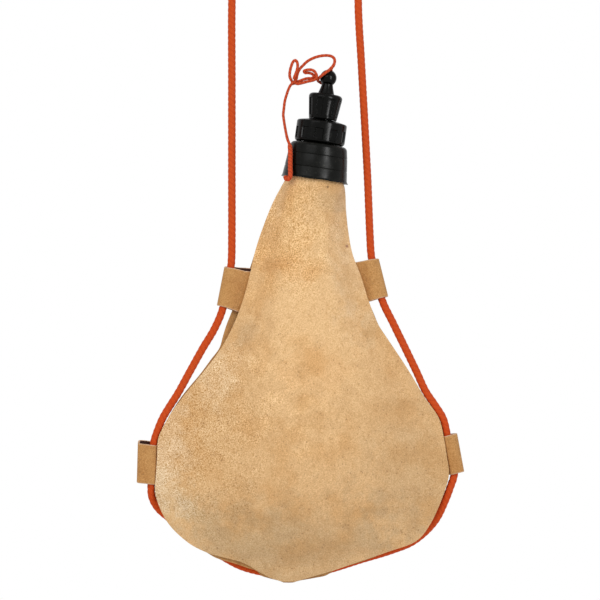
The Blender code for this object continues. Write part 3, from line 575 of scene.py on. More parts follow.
panels = (("front_panel", FRONT_EDGE_SHARES, -1), ("back_panel", BACK_EDGE_SHARES, 1))
for name, edge_shares, facing in panels:
    panel = leather_panel(name + "_leather", edge_shares, facing, (suede, cut_edge, grain_side))
    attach(panel, "root")
    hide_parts(name)


# The cord loops
# Four short strips of the same leather, darker, each folded round the carry cord, with its two
# legs caught between the panels' rims. Their cut ends stand open above and below.
loop_half_gap = 0.0026
loop_tab_depth = 0.0080
loop_flare = 0.0014
loop_hold = 0.10
loop_wave = 0.0002
loop_ripple = 0.0001
loop_columns = 90
loop_rows = 26

# The strip's map runs up it in V, and both of its cut ends are paler
loop_leather, loop_tree, loop_shader = blank_material(
    "loop_leather", 0.85, Specular_IOR_Level=0.25, Sheen_Weight=0.06, Sheen_Roughness=0.5)
colour, relief = suede_surface(loop_tree, object_place(loop_tree), (200, 148, 88), (166, 114, 62),
                               (190, 134, 74), 1.3)
strip_map = add_node(loop_tree, "TexCoord").outputs["UV"]
up_strip = add_node(loop_tree, "SeparateXYZ", {0: strip_map}).outputs[1]
from_middle = sum_of(loop_tree, "ABSOLUTE", sum_of(loop_tree, "SUBTRACT", up_strip, 0.5))
colour = mixed(loop_tree, ranged(loop_tree, from_middle, 0.470, 0.490), colour, screen_colour(226, 180, 136))
feed_shader(loop_tree, loop_shader, colour, relief, nap_depth, nap_strength)

# The strips' inner side: the leather's darker grain side with painted shade over it, as dark as the inside of
# the fold in shadow.
loop_inside_grain_and_shade, inside_tree, inside_shader = blank_material("loop_inside_grain_and_shade", 0.85, Specular_IOR_Level=0.15)
inside_share = noise_value(inside_tree, object_place(inside_tree), 300.0, 3.0)
inside_tree.links.new(mixed(inside_tree, inside_share, screen_colour(76, 48, 38), screen_colour(54, 32, 27)),
                      inside_shader.inputs["Base Color"])


def edit_all(piece):
    """Enter edit mode on one piece with all of it selected."""
    select_only(piece)
    bpy.ops.object.mode_set(mode="EDIT")
    bpy.ops.mesh.select_all(action="SELECT")


def face_outwards(piece, merge=None, close_ends=False):
    """Turn a piece's faces outwards, after its doubled points are merged and its open ends closed."""
    edit_all(piece)
    if merge:
        bpy.ops.mesh.remove_doubles(threshold=merge)
    if close_ends:
        bpy.ops.mesh.fill_holes(sides=0)
        bpy.ops.mesh.select_all(action="SELECT")
    bpy.ops.mesh.normals_make_consistent(inside=False)
    bpy.ops.object.mode_set(mode="OBJECT")


def cord_loop(loop):
    """One strip: a grid laid round the fold, with its legs opening a little towards the bend."""
    leg = (loop_slit + loop_thickness) / 2
    bend = loop_half_gap + loop_thickness / 2
    fold = loop["reach"] - bend - loop_thickness / 2
    held = loop["part"] * loop_hold
    corners = [(-loop_tab_depth, leg)]
    for share in np.linspace(0, 1, 9):
        corners.append((held + (loop["part"] - held + loop_flare) * share,
                        leg + (bend - leg) * float(eased(share))))
    half_turn = np.linspace(math.pi / 2, -math.pi / 2, 17)
    turn = [(fold + bend * math.cos(angle), bend * math.sin(angle)) for angle in half_turn]
    line = np.array(corners + turn + [(x, -y) for x, y in reversed(corners)])
    run = np.concatenate(([0.0], np.cumsum(np.hypot(*np.diff(line, axis=0).T))))
    edge = np.array(FRONT_EDGE_SHARES)
    column = 1 if loop["side"] < 0 else 2
    edge_x = loop["side"] * belly_half_width * smooth_values(
        edge[:, 0], edge[:, [column]], np.array([loop["height_share"]]))[0, 0]
    seat = Matrix.Translation((edge_x, 0, leather_top_z - loop["height_share"] * bag_height))
    seat = seat @ Matrix.Rotation(0 if loop["side"] > 0 else math.pi, 4, "Z")
    seat = np.array(seat @ Matrix.Rotation(-math.radians(loop["lean"]), 4, "Y"))

    def place(across, down):
        flat = smooth_values(run, line, across * run[-1])
        wavy = loop_wave * np.sin(across * 9.0 + loop["lean"]) + loop_ripple * np.sin(across * 23.0)
        fall = (loop["top_fall"] * (1 - down) + loop["foot_fall"] * down) * (1 - flat[:, 0] / loop["reach"])
        rise = np.interp(flat[:, 0], (0, loop["reach"]), loop["back_rise"]) * (1 - down)
        rise *= eased(0.5 + loop["side"] * flat[:, 1] / loop_half_gap)
        high = (0.5 - down) * loop["height"] + wavy - fall + rise
        points = np.stack((flat[:, 0], flat[:, 1], high, np.ones_like(high)), axis=1)
        return (points @ seat.T)[:, :3]

    return lay_grid(loop["name"] + "_strip", loop_columns, loop_rows, place)


for loop in LOOPS:
    strip = cord_loop(loop)
    thicken(strip, loop_thickness, 0, (loop_inside_grain_and_shade, cut_edge, loop_leather))
    face_outwards(strip)
    bpy.ops.object.shade_smooth_by_angle(angle=smooth_angle)
    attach(strip, "root")
    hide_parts(loop["name"])


# The latex liner
# A thin cream bladder inside the leather, open at the neck tube. It holds the drink and is
# tied to the tube together with the leather's neck.
liner_merge_distance = 0.00001

latex = mottled("latex", 0.45, (60.0, 3.0, 0.5), (0.35, 0.70), (214, 186, 140), (196, 162, 112), depth=0.0002,
                relief=(400.0, 2.0, 0.5))
liner_mesh = frame["nodes"]["latex_liner"].data.copy()
liner_mesh.materials.clear()
liner_mesh.materials.append(latex)
bladder = bpy.data.objects.new("latex_bladder", liner_mesh)
bpy.context.scene.collection.objects.link(bladder)
edit_all(bladder)
bpy.ops.mesh.remove_doubles(threshold=liner_merge_distance)
bpy.ops.mesh.tris_convert_to_quads()
bpy.ops.object.mode_set(mode="OBJECT")
rounder = bladder.modifiers.new("round", "SUBSURF")
rounder.levels = 2
rounder.render_levels = 2
apply_modifiers(bladder)
bladder.data.shade_smooth()
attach(bladder, "root")
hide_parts("latex_liner")


# The neck tube
# A hard black tube that liner and leather are tied to. It has grooves that the tie bites into,
# a ledge that carries the collar, and above it a coarse two-start thread for the nozzle.
collar_height = 0.0217
collar_disc_thickness = 0.0020
neck_bore_radius = 0.0068
neck_tube_radius = 0.0092
neck_tube_foot = -0.0100
neck_tube_top = 0.0330
neck_chamfer = 0.0010
neck_ledge_radius = 0.0120
neck_ledge_height = 0.0018
neck_groove_depth = 0.0006
neck_groove_height = 0.0014
thread_depth = 0.0007
neck_thread_lead = 0.0040
thread_starts = 2
thread_row = 0.0002
neck_tube_steps = 96
neck_thread_start = 0.0008
thread_steepness = 1.6
thread_run_in = 3
wall_tolerance = 0.00001
merge_distance = 0.000001
edge_angle = math.radians(32)
plastic_relief = 0.00004

# The tie's sizes set where the tube's grooves lie, so they stand with it
binding_thickness = 0.0018
binding_pitch = 0.0022
binding_turns = 3
binding_foot = 0.0079


def arc(centre_radius, centre_height, radius, start, end, points=8):
    """Profile points on a round, angles in degrees from +X towards +Z."""
    angles = [math.radians(start + (end - start) * index / points) for index in range(points + 1)]
    return [(centre_radius + radius * math.cos(a), centre_height + radius * math.sin(a)) for a in angles]


def straight(start, end, rows):
    """Profile points along a straight stretch, without its end."""
    return [tuple(s + (e - s) * index / rows for s, e in zip(start, end)) for index in range(rows)]


def turned(name, profile, steps, finish):
    """A turned piece: a profile beside the neck's axis, spun once round it."""
    mesh = bpy.data.meshes.new(name)
    mesh.materials.append(finish)
    links = [(index, index + 1) for index in range(len(profile) - 1)]
    if profile[0][0] > 0:
        links.append((len(profile) - 1, 0))
    mesh.from_pydata([neck_frame @ Vector((radius, 0, height)) for radius, height in profile], links, [])
    piece = bpy.data.objects.new(name, mesh)
    bpy.context.scene.collection.objects.link(piece)
    edit_all(piece)
    bpy.ops.mesh.spin(steps=steps, angle=math.tau, center=neck_foot, axis=neck_axis)
    bpy.ops.object.mode_set(mode="OBJECT")
    face_outwards(piece, merge_distance)
    return piece


def shift_round_neck(piece, shift):
    """Move a piece's points: shift turns their radius, angle and height round the neck into new ones."""
    def moved(points):
        local, world = np.array(neck_frame.inverted()), np.array(neck_frame)
        x, y, height = (points @ local[:3, :3].T + local[:3, 3]).T
        radius, angle, height = shift(np.hypot(x, y), np.arctan2(y, x), height)
        points = np.stack((radius * np.cos(angle), radius * np.sin(angle), height), axis=1)
        return points @ world[:3, :3].T + world[:3, 3]

    reshape(piece, moved)


def cut_thread(piece, wall, foot, top, lead, depth):
    """Cut a rounded two-start thread into a wall of a turned piece; a negative depth cuts outwards."""
    def shift(radius, angle, height):
        phase = thread_starts * (height / lead - angle / math.tau)
        groove = eased(0.5 + thread_steepness * np.cos(math.tau * phase))
        run_in = thread_run_in * abs(depth)
        ends = eased((height - foot) / run_in) * eased((top - height) / run_in)
        on_wall = np.abs(radius - wall) < wall_tolerance
        return np.where(on_wall, radius - depth * groove * ends, radius), angle, height

    shift_round_neck(piece, shift)


def crisp(piece, width):
    """Round a hard piece's edges a little and shade it."""
    round_edges(piece, width, 3, edge_angle)
    apply_modifiers(piece)
    bpy.ops.object.shade_smooth_by_angle(angle=smooth_angle)


# Moulded plastic that has been handled: faint scuffs and dust, smoother where it is polished
handled, handled_in, handled_out = group_of(
    "handled_surface",
    {"Vector": "Vector", "Tone": "Color", "Dust": "Color", "Smooth": "Float", "Dull": "Float",
     "Wear": "Float"},
    {"Color": "Color", "Roughness": "Float", "Height": "Float"})
cloud = noise_value(handled, handled_in["Vector"], 130.0, 4.0, 0.6)
pitted = noise_value(handled, handled_in["Vector"], 900.0, 3.0, 0.6)
scuffs = sum_of(handled, "MULTIPLY", ranged(handled, pitted, 0.58, 0.70), ranged(handled, cloud, 0.46, 0.66))
worn = sum_of(handled, "MULTIPLY", scuffs, handled_in["Wear"])
handled.links.new(mixed(handled, worn, handled_in["Tone"], handled_in["Dust"]), handled_out["Color"])
span = sum_of(handled, "SUBTRACT", handled_in["Dull"], handled_in["Smooth"])
share = sum_of(handled, "MAXIMUM", ranged(handled, cloud, 0.35, 0.70), worn)
roughness = sum_of(handled, "MULTIPLY_ADD", share, span, handled_in["Smooth"])
handled.links.new(roughness, handled_out["Roughness"])
handled.links.new(sum_of(handled, "MULTIPLY_ADD", pitted, 0.3, worn), handled_out["Height"])


def moulded(name, tone, dust, smooth, dull, wear, specular):
    """A moulded plastic or rubber."""
    made, tree, shader = blank_material(name, smooth, Specular_IOR_Level=specular)
    sockets = {"Vector": object_place(tree), "Tone": tone + (1,), "Dust": dust + (1,), "Smooth": smooth,
               "Dull": dull, "Wear": wear}
    skin = add_node(tree, "Group", sockets, node_tree=handled).outputs
    tree.links.new(skin["Roughness"], shader.inputs["Roughness"])
    feed_shader(tree, shader, skin["Color"], skin["Height"], plastic_relief, 0.7)
    return made


black_plastic = moulded("black_plastic", (0.0019, 0.0020, 0.0016), (0.030, 0.032, 0.025), smooth=0.13,
                        dull=0.26, wear=0.5, specular=0.09)

ledge_top = collar_height - collar_disc_thickness - touch_gap
ledge_foot = ledge_top - neck_ledge_height
thread_top = neck_tube_top - neck_chamfer
thread_rows = int((thread_top - ledge_top) / thread_row)
profile = [(neck_bore_radius, neck_tube_top), (neck_tube_radius - neck_chamfer, neck_tube_top)]
profile += straight((neck_tube_radius, thread_top), (neck_tube_radius, ledge_top), thread_rows)
profile += [(neck_tube_radius, ledge_top), (neck_ledge_radius, ledge_top), (neck_ledge_radius, ledge_foot),
            (neck_tube_radius, ledge_foot)]
for turn in reversed(range(binding_turns)):
    middle = binding_foot + binding_thickness / 2 + (turn + 0.5) * binding_pitch
    profile += [(neck_tube_radius, middle + neck_groove_height / 2),
                (neck_tube_radius - neck_groove_depth, middle),
                (neck_tube_radius, middle - neck_groove_height / 2)]
profile += [(neck_tube_radius, neck_tube_foot + neck_chamfer),
            (neck_tube_radius - neck_chamfer, neck_tube_foot), (neck_bore_radius, neck_tube_foot)]
neck_tube = turned("threaded_neck_tube", profile, neck_tube_steps, black_plastic)
cut_thread(neck_tube, neck_tube_radius, collar_height + neck_thread_start, thread_top, neck_thread_lead,
           thread_depth)
bpy.ops.object.shade_smooth_by_angle(angle=smooth_angle)
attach(neck_tube, "root")
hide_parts("filler_neck")


# The binding
# Waxed twine wound three times round the leather's neck and pulled tight, which ties leather
# and liner to the neck tube. The collar hides it.
twine_lay = 0.0042
winding_points = 60
lobe_fullness = 0.6
cord_relief = 0.00012


def smooth_route(route, spacing):
    """Evenly spaced points on one smooth curve through the route's own points, and its length."""
    points = np.array(route, dtype=float)
    at = np.concatenate(([0.0], np.cumsum(np.linalg.norm(np.diff(points, axis=0), axis=1))))
    fine = smooth_values(at, points, np.linspace(0.0, at[-1], int(4 * at[-1] / spacing)))
    run = np.concatenate(([0.0], np.cumsum(np.linalg.norm(np.diff(fine, axis=0), axis=1))))
    wanted = np.linspace(0.0, run[-1], int(run[-1] / spacing) + 1)
    return np.stack([np.interp(wanted, run, fine[:, axis]) for axis in range(3)], axis=1), run[-1]


def carried_frames(line):
    """Two cross directions at each point of a line, carried along it without a twist."""
    ahead = np.gradient(line, axis=0)
    ahead /= np.linalg.norm(ahead, axis=1)[:, None]
    side = Vector(ahead[0]).orthogonal().normalized()
    first = np.zeros_like(line)
    for index, direction in enumerate(ahead):
        side = (side - Vector(direction) * side.dot(Vector(direction))).normalized()
        first[index] = side
    return first, np.cross(ahead, first)


def twisted_cord(name, line, diameter, lay, finish, strands=3, groove=0.20, sides=24, swell=None):
    """A cord of twisted strands: a grid rolled into a tube along a line, with lobes that turn along it."""
    first, second = carried_frames(line)
    run = np.concatenate(([0.0], np.cumsum(np.linalg.norm(np.diff(line, axis=0), axis=1))))
    swell = np.ones(len(line)) if swell is None else np.asarray(swell)
    rows = len(line) - 1

    def place(across, down):
        row = np.rint(down * rows).astype(int)
        angle = math.tau * across
        lobe = np.abs(np.cos(math.pi * strands * (across + run[row] / lay))) ** lobe_fullness
        radius = diameter / 2 * swell[row] * (1 - groove * (1 - lobe))
        out, aside = (radius * np.cos(angle))[:, None], (radius * np.sin(angle))[:, None]
        return line[row] + out * first[row] + aside * second[row]

    piece = lay_grid(name, sides, rows, place)
    piece.data.materials.append(finish)
    shares = np.zeros(len(piece.data.loops) * 2)
    layer = piece.data.uv_layers.active.data
    layer.foreach_get("uv", shares)
    shares[1::2] = (1 - shares[1::2]) * run[-1] / lay
    layer.foreach_set("uv", shares)
    face_outwards(piece, merge_distance, close_ends=True)
    piece.data.shade_smooth()
    return piece


# Twisted strands, from a cord's own map: round it once in U, one lay of the strands in V. The groove colour
# is painted shade between the strands, the shadow colour is painted shade along the fine yarn lines, and the
# fuzz mixes the shadow colour in at random.
strand_lay, strand_in, strand_out = group_of(
    "strand_lay", {"Strands": "Float", "Crown": "Color", "Groove": "Color", "Shadow": "Color"},
    {"Color": "Color", "Height": "Float"})
parts = add_node(strand_lay, "SeparateXYZ", {0: add_node(strand_lay, "TexCoord").outputs["UV"]}).outputs
turning = sum_of(strand_lay, "ADD", parts[0], parts[1])
half_turns = sum_of(strand_lay, "MULTIPLY", strand_in["Strands"], math.pi)
swing = sum_of(strand_lay, "MULTIPLY", turning, half_turns)
crown = sum_of(strand_lay, "ABSOLUTE", sum_of(strand_lay, "COSINE", swing))
yarn_turn = sum_of(strand_lay, "SUBTRACT", sum_of(strand_lay, "MULTIPLY", parts[0], 9.0),
                   sum_of(strand_lay, "MULTIPLY", parts[1], 6.0))
yarn = sum_of(strand_lay, "COSINE", sum_of(strand_lay, "MULTIPLY", yarn_turn, math.tau))
yarn = sum_of(strand_lay, "MULTIPLY_ADD", yarn, 0.5, 0.5)
fuzz = noise_value(strand_lay, object_place(strand_lay), 1500.0, 3.0, 0.6)
yarn_share = sum_of(strand_lay, "MULTIPLY", ranged(strand_lay, yarn, 0.55, 0.05), 0.28)
fuzz_share = ranged(strand_lay, fuzz, 0.40, 0.75, 0.0, 0.30)
tone = mixed(strand_lay, ranged(strand_lay, crown, 0.10, 0.62), strand_in["Groove"], strand_in["Crown"])
tone = mixed(strand_lay, yarn_share, tone, strand_in["Shadow"])
tone = mixed(strand_lay, fuzz_share, tone, strand_in["Shadow"])
rise = sum_of(strand_lay, "MULTIPLY_ADD", yarn, 0.6, sum_of(strand_lay, "MULTIPLY", fuzz, 0.6))
strand_lay.links.new(tone, strand_out["Color"])
strand_lay.links.new(rise, strand_out["Height"])


def cord_material(name, strands, crown, groove, shadow):
    """A twisted cord's finish, with painted shade in its grooves and along its yarn lines."""
    made, tree, shader = blank_material(
        name, 0.78, Specular_IOR_Level=0.15, Sheen_Weight=0.05, Sheen_Roughness=0.4)
    sockets = {"Strands": strands, "Crown": screen_colour(*crown), "Groove": screen_colour(*groove),
               "Shadow": screen_colour(*shadow)}
    lay = add_node(tree, "Group", sockets, node_tree=strand_lay).outputs
    feed_shader(tree, shader, lay["Color"], lay["Height"], cord_relief)
    return made


twine = cord_material("binding_cord", 3.0, (196, 178, 138), (120, 100, 66), (160, 138, 98))
winding_radius = grip_radius + touch_gap + binding_thickness / 2
winding_turns = np.linspace(0, binding_turns, binding_turns * winding_points + 1)
winding = np.array([neck_frame @ Vector((
    winding_radius * math.cos(math.tau * turn), winding_radius * math.sin(math.tau * turn),
    binding_foot + binding_thickness / 2 + binding_pitch * turn)) for turn in winding_turns])
binding = twisted_cord("neck_twine", winding, binding_thickness, twine_lay, twine, sides=16)
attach(binding, "root")
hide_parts("neck_binding")


# The collar
# A thin black plastic skirt that hides the tie. It is a cone with two fine scored lines, a round
# shoulder, and a rim that was trimmed unevenly and stands out a little over the leather.
collar_rim_radius = 0.0196
collar_top_radius = 0.0172
collar_wall = 0.0013
collar_edge_round = 0.00012
collar_shoulder_radius = 0.0027
collar_groove_heights = (0.0070, 0.0147)
collar_groove_width = 0.0005
collar_groove_depth = 0.0003
collar_groove_shape = ((0.5, 0), (0.25, 0.7), (0, 1), (-0.25, 0.7), (-0.5, 0))
collar_lip_height = 0.0016
collar_lip_reach = 0.0006
collar_rim_share = 0.55
collar_clearance = 0.0003
collar_steps = 144
trim_wave = (0.00016, 0.00010)
trim_nick = (0.00014, 0.00012)


def collar_side(height):
    """The collar's outer radius at a height."""
    return collar_rim_radius + (collar_top_radius - collar_rim_radius) * height / collar_height


worn_plastic = moulded("worn_black_plastic", (0.0026, 0.0028, 0.0020), (0.042, 0.044, 0.034), smooth=0.24,
                       dull=0.38, wear=0.75, specular=0.10)
hole = neck_tube_radius + collar_clearance
profile = [(hole, collar_height)]
profile += arc(collar_top_radius - collar_shoulder_radius, collar_height - collar_shoulder_radius,
               collar_shoulder_radius, 90, 0)
for height in reversed(collar_groove_heights):
    for shift, sunk in collar_groove_shape:
        level = height + shift * collar_groove_width
        profile.append((collar_side(level) - sunk * collar_groove_depth, level))
for share in np.linspace(1, 0, 7):
    level = collar_lip_height * share
    profile.append((collar_side(level) + collar_lip_reach * (1 - share) ** 2, level))
profile += [(collar_rim_radius - collar_wall * collar_rim_share, 0),
            (collar_rim_radius - collar_wall, collar_wall / 2)]
inner_top = collar_height - collar_disc_thickness
profile += [(collar_side(inner_top) - collar_wall, inner_top), (hole, inner_top)]
collar = turned("moulded_collar", profile, collar_steps, worn_plastic)


def uneven_rim(radius, angle, height):
    """The rim's trimmed edge waves a little and has small nicks, outwards and downwards."""
    near = eased(1 - height / collar_lip_height) * (radius > collar_side(0) - collar_wall)
    wave = np.sin(3 * angle + 0.6) + 0.6 * np.sin(7 * angle + 2.0)
    nick = np.sin(23 * angle) * np.sin(31 * angle + 1.0)
    out, down = (near * (deep * wave + small * nick) for deep, small in zip(trim_wave, trim_nick))
    return radius + out, angle, height - down


shift_round_neck(collar, uneven_rim)
crisp(collar, collar_edge_round)
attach(collar, "root")
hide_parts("collar")


# The nozzle
# One black moulding that screws onto the neck tube: a ring nut with ten flutes below, and the
# drinking spout above it, threaded outside for the cap, with a fine jet through its tip.
ring_foot = collar_height + touch_gap
nozzle_edge_round = 0.00022
ring_radius = 0.0151
ring_height = 0.0131
ring_bottom_round = 0.0018
ring_top_round = 0.0012
ring_shoulder_rise = 0.0012
ring_roof_thickness = 0.0020
ring_flute_count = 10
ring_flute_steps = 18
ring_flute_share = 10 / ring_flute_steps
ring_flute_first = -2 / ring_flute_steps
ring_flute_depth = 0.0009
ring_flute_slope = 0.0003
ring_flute_band = 0.0044
ring_wall_tolerance = 0.0003
bore_thread_margin = 0.0006
spout_radius = 0.0056
spout_height = 0.0105
spout_tip_round = 0.0010
jet_radius = 0.0012
jet_funnel_height = 0.0070
spout_thread_lead = 0.0035
spout_thread_start = 0.0012
spout_thread_depth = 0.0005
cap_rim_radius = 0.0084


def cut_flutes(piece, count, first, width_share, foot, top, inner, depth, slope):
    """Sink flutes into a nut's wall: the wall faces in each sector are inset and pushed in."""
    edit_all(piece)
    bpy.ops.mesh.select_all(action="DESELECT")
    shell = bmesh.from_edit_mesh(piece.data)
    inverse = neck_frame.inverted()
    for face in shell.faces:
        middle = inverse @ face.calc_center_median()
        sector = (math.atan2(middle.y, middle.x) / math.tau * count - first) % 1
        wall = math.hypot(middle.x, middle.y) > inner and foot < middle.z < top
        face.select = wall and abs(sector - 0.5) < width_share / 2
    bmesh.update_edit_mesh(piece.data)
    bpy.ops.mesh.inset(thickness=slope, depth=-depth)
    bpy.ops.object.mode_set(mode="OBJECT")


ring_top = ring_foot + ring_height
shoulder_top = ring_top + ring_shoulder_rise
ring_bore = neck_tube_radius + touch_gap
ring_roof = shoulder_top - ring_roof_thickness
spout_top = shoulder_top + spout_height
spout_thread_top = spout_top - spout_tip_round
flute_foot = ring_foot + ring_bottom_round
flute_top = ring_top - ring_flute_band
spout_rows = int((spout_height - spout_tip_round) / thread_row)
bore_rows = int((ring_roof - ring_foot) / thread_row)
profile = [(jet_radius, spout_top)]
profile += arc(spout_radius - spout_tip_round, spout_thread_top, spout_tip_round, 90, 0, 6)[:-1]
profile += straight((spout_radius, spout_thread_top), (spout_radius, shoulder_top), spout_rows)
profile += [(spout_radius, shoulder_top), (cap_rim_radius + touch_gap, shoulder_top)]
profile += arc(ring_radius - ring_top_round, ring_top - ring_top_round, ring_top_round, 75, 0, 6)
profile += straight((ring_radius, flute_top), (ring_radius, flute_foot), 6)
profile += arc(ring_radius - ring_bottom_round, flute_foot, ring_bottom_round, 0, -90, 8)
profile += straight((ring_bore, ring_foot), (ring_bore, ring_roof), bore_rows)
profile += [(ring_bore, ring_roof), (spout_radius - ring_roof_thickness, ring_roof),
            (jet_radius, ring_roof + jet_funnel_height)]
nozzle = turned("fluted_nozzle", profile, ring_flute_count * ring_flute_steps, black_plastic)
cut_thread(nozzle, spout_radius, shoulder_top + spout_thread_start, spout_thread_top, spout_thread_lead,
           spout_thread_depth)
cut_thread(nozzle, ring_bore, ring_foot + bore_thread_margin, ring_roof - bore_thread_margin,
           neck_thread_lead, -thread_depth)
cut_flutes(nozzle, ring_flute_count, ring_flute_first, ring_flute_share, flute_foot, flute_top,
           ring_radius - ring_wall_tolerance, ring_flute_depth, ring_flute_slope)
crisp(nozzle, nozzle_edge_round)
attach(nozzle, "nozzle")
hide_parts("nozzle")

seal_rubber = moulded("seal_rubber", (0.045, 0.045, 0.048), (0.12, 0.12, 0.11), smooth=0.50, dull=0.70,
                      wear=0.4, specular=0.30)
for washer in ("nozzle_washer", "cap_washer"):
    frame["nodes"][washer].data.materials.clear()
    frame["nodes"][washer].data.materials.append(seal_rubber)


# The cap
# A small black screw cap, wider at its top, with eight flutes. On it a ball stands on a short
# waisted stalk, which the keeper cord is tied round.
cap_foot = shoulder_top + touch_gap
cap_height = 0.0153
cap_top_radius = 0.0101
cap_top_round = 0.0022
cap_bore = spout_radius + touch_gap
cap_washer_thickness = 0.0011
cap_edge_round = 0.0002
cap_wall_least = 0.0010
cap_flute_count = 8
cap_flute_steps = 14
cap_flute_share = 8 / cap_flute_steps
cap_flute_first = 1 / cap_flute_steps
cap_flute_depth = 0.0008
cap_flute_slope = 0.0003
cap_flute_foot = 0.0018
cap_flute_band = 0.0030
stalk_base_radius = 0.0050
stalk_waist_radius = 0.0033
stalk_height = 0.0061
stalk_flare = 1.2
ball_radius = 0.0050

cap_top = cap_foot + cap_height
cap_roof = spout_top + 2 * touch_gap + cap_washer_thickness
ball_height = cap_top + stalk_height + math.sqrt(ball_radius**2 - stalk_waist_radius**2)
lowest = -math.degrees(math.acos(stalk_waist_radius / ball_radius))
profile = [(0, ball_height + ball_radius)] + arc(0, ball_height, ball_radius, 90, lowest, 26)[1:]
for share in np.linspace(0.1, 1, 9):
    spread = stalk_waist_radius + (stalk_base_radius - stalk_waist_radius) * share**stalk_flare
    profile.append((spread, cap_top + stalk_height * (1 - share)))
profile += arc(cap_top_radius - cap_top_round, cap_top - cap_top_round, cap_top_round, 90, 0, 6)
flute_top = cap_top - cap_flute_band
flute_foot = cap_foot + cap_flute_foot


def cap_side(height):
    """The cap's outer radius at a height."""
    climb = (height - cap_foot) / (cap_height - cap_top_round)
    return cap_rim_radius + (cap_top_radius - cap_rim_radius) * climb


profile += straight((cap_side(flute_top), flute_top), (cap_side(flute_foot), flute_foot), 6)
bore_rows = int((cap_roof - cap_foot) / thread_row)
profile += [(cap_side(flute_foot), flute_foot), (cap_rim_radius, cap_foot + touch_gap),
            (cap_rim_radius - touch_gap, cap_foot)]
profile += straight((cap_bore, cap_foot), (cap_bore, cap_roof), bore_rows)
profile += [(cap_bore, cap_roof), (0, cap_roof)]
cap = turned("fluted_cap", profile, cap_flute_count * cap_flute_steps, black_plastic)
cut_thread(cap, cap_bore, cap_foot + bore_thread_margin, cap_roof - bore_thread_margin,
           spout_thread_lead, -spout_thread_depth)
cut_flutes(cap, cap_flute_count, cap_flute_first, cap_flute_share, flute_foot, flute_top,
           cap_bore + cap_wall_least, cap_flute_depth, cap_flute_slope)
crisp(cap, cap_edge_round)
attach(cap, "cap")
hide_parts("cap")


# The carry cord
# One orange cord of three twisted strands, 4.7 mm thick and 0.96 m long. It runs from the knot over
# the hook, down the left through two loops, round behind the bottom and up the right.
cord_diameter = 0.0047
cord_lay = 0.0100
cord_groove = 0.12
cord_step = 0.0008
CORD_ROUTE = (
    (0.0211, 0.0, -0.0032), (0.0104, 0.0, 0.0011), (0.0004, 0.0, 0.00235),
    (-0.0113, 0.0, 0.0005), (-0.0218, 0.0, -0.0051), (-0.0300, 0.0, -0.0137),
    (-0.0352, 0.0, -0.0243), (-0.0370, 0.0, -0.0360), (-0.0373, 0.0, -0.0500),
    (-0.0373, 0.0, -0.0900), (-0.0373, 0.0, -0.1500), (-0.0373, 0.0, -0.1890),
    (-0.0374, 0.0, -0.1985), (-0.0379, 0.0, -0.2056), (-0.0394, 0.0, -0.2135),
    (-0.0410, 0.0, -0.2213), (-0.0426, 0.0, -0.2297), (-0.0476, 0.0, -0.2420),
    (-0.0546, 0.0, -0.2538), (-0.0626, 0.0, -0.2682), (-0.0706, 0.0, -0.2826),
    (-0.0749, 0.0, -0.2893), (-0.0788, 0.0, -0.2960), (-0.0815, 0.0, -0.3024),
    (-0.0840, 0.0, -0.3102), (-0.0848, 0.0, -0.3187), (-0.0853, 0.0, -0.3267),
    (-0.0856, 0.0, -0.3340), (-0.0857, 0.0001, -0.3374), (-0.0856, 0.0012, -0.3415),
    (-0.0845, 0.0032, -0.3456), (-0.0823, 0.0053, -0.3496), (-0.0740, 0.0077, -0.3574),
    (-0.0634, 0.0082, -0.3662),
    (-0.0528, 0.0082, -0.3734), (-0.0432, 0.0080, -0.3795), (-0.0324, 0.0074, -0.3852),
    (-0.0204, 0.0070, -0.3886), (-0.0050, 0.0068, -0.3906), (0.0096, 0.0068, -0.3903),
    (0.0230, 0.0068, -0.3868), (0.0408, 0.0070, -0.3812), (0.0590, 0.0074, -0.3757),
    (0.0710, 0.0074, -0.3708), (0.0790, 0.0066, -0.3646), (0.0852, 0.0048, -0.3573),
    (0.0906, 0.0022, -0.3460), (0.0937, 0.0, -0.3375), (0.0961, 0.0, -0.3296),
    (0.0949, 0.0, -0.3212), (0.0934, 0.0, -0.3134), (0.0917, 0.0, -0.3050),
    (0.0893, 0.0, -0.2958), (0.0845, 0.0, -0.2880), (0.0794, 0.0, -0.2805),
    (0.0736, 0.0, -0.2682), (0.0667, 0.0, -0.2538), (0.0597, 0.0, -0.2394),
    (0.0527, 0.0, -0.2245), (0.0506, 0.0, -0.2163), (0.0486, 0.0, -0.2085),
    (0.0467, 0.0, -0.2008), (0.0461, 0.0, -0.1960), (0.0457, 0.0, -0.1890),
    (0.0442, 0.0, -0.1530), (0.0423, 0.0, -0.1170), (0.0403, 0.0, -0.0810),
    (0.0386, 0.0, -0.0500), (0.0384, 0.0, -0.0360), (0.0373, 0.0, -0.0268),
    (0.0342, 0.0, -0.0182), (0.0290, 0.0, -0.0101),
)

orange_cord = cord_material("orange_cord", 3.0, (212, 80, 22), (200, 70, 19), (198, 68, 20))
cord_line, cord_length = smooth_route(CORD_ROUTE, cord_step)
carry_cord = twisted_cord("carry_cord_strands", cord_line, cord_diameter, cord_lay, orange_cord,
                          groove=cord_groove)
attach(carry_cord, "root")
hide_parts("carry_cord")


# The carry cord's knot
# The cord's two ends are tied in one barrel knot, three wraps round both, with short tails
# that were cut and melted so that they don't fray.
knot_low, knot_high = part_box("carry_cord_knot")
knot_place = (knot_low + knot_high) / 2
knot_along = Vector((0.743, 0, -0.669))
wrap_diameter = 0.0040
wrap_radius = 0.0036
wrap_count = 3
tail_length = 0.011
wrap_tightness = 0.92
wrap_points = 24
tail_bend = 0.006
tail_spread = 0.003
tail_end_round = 0.0018
knot_step = 0.0007


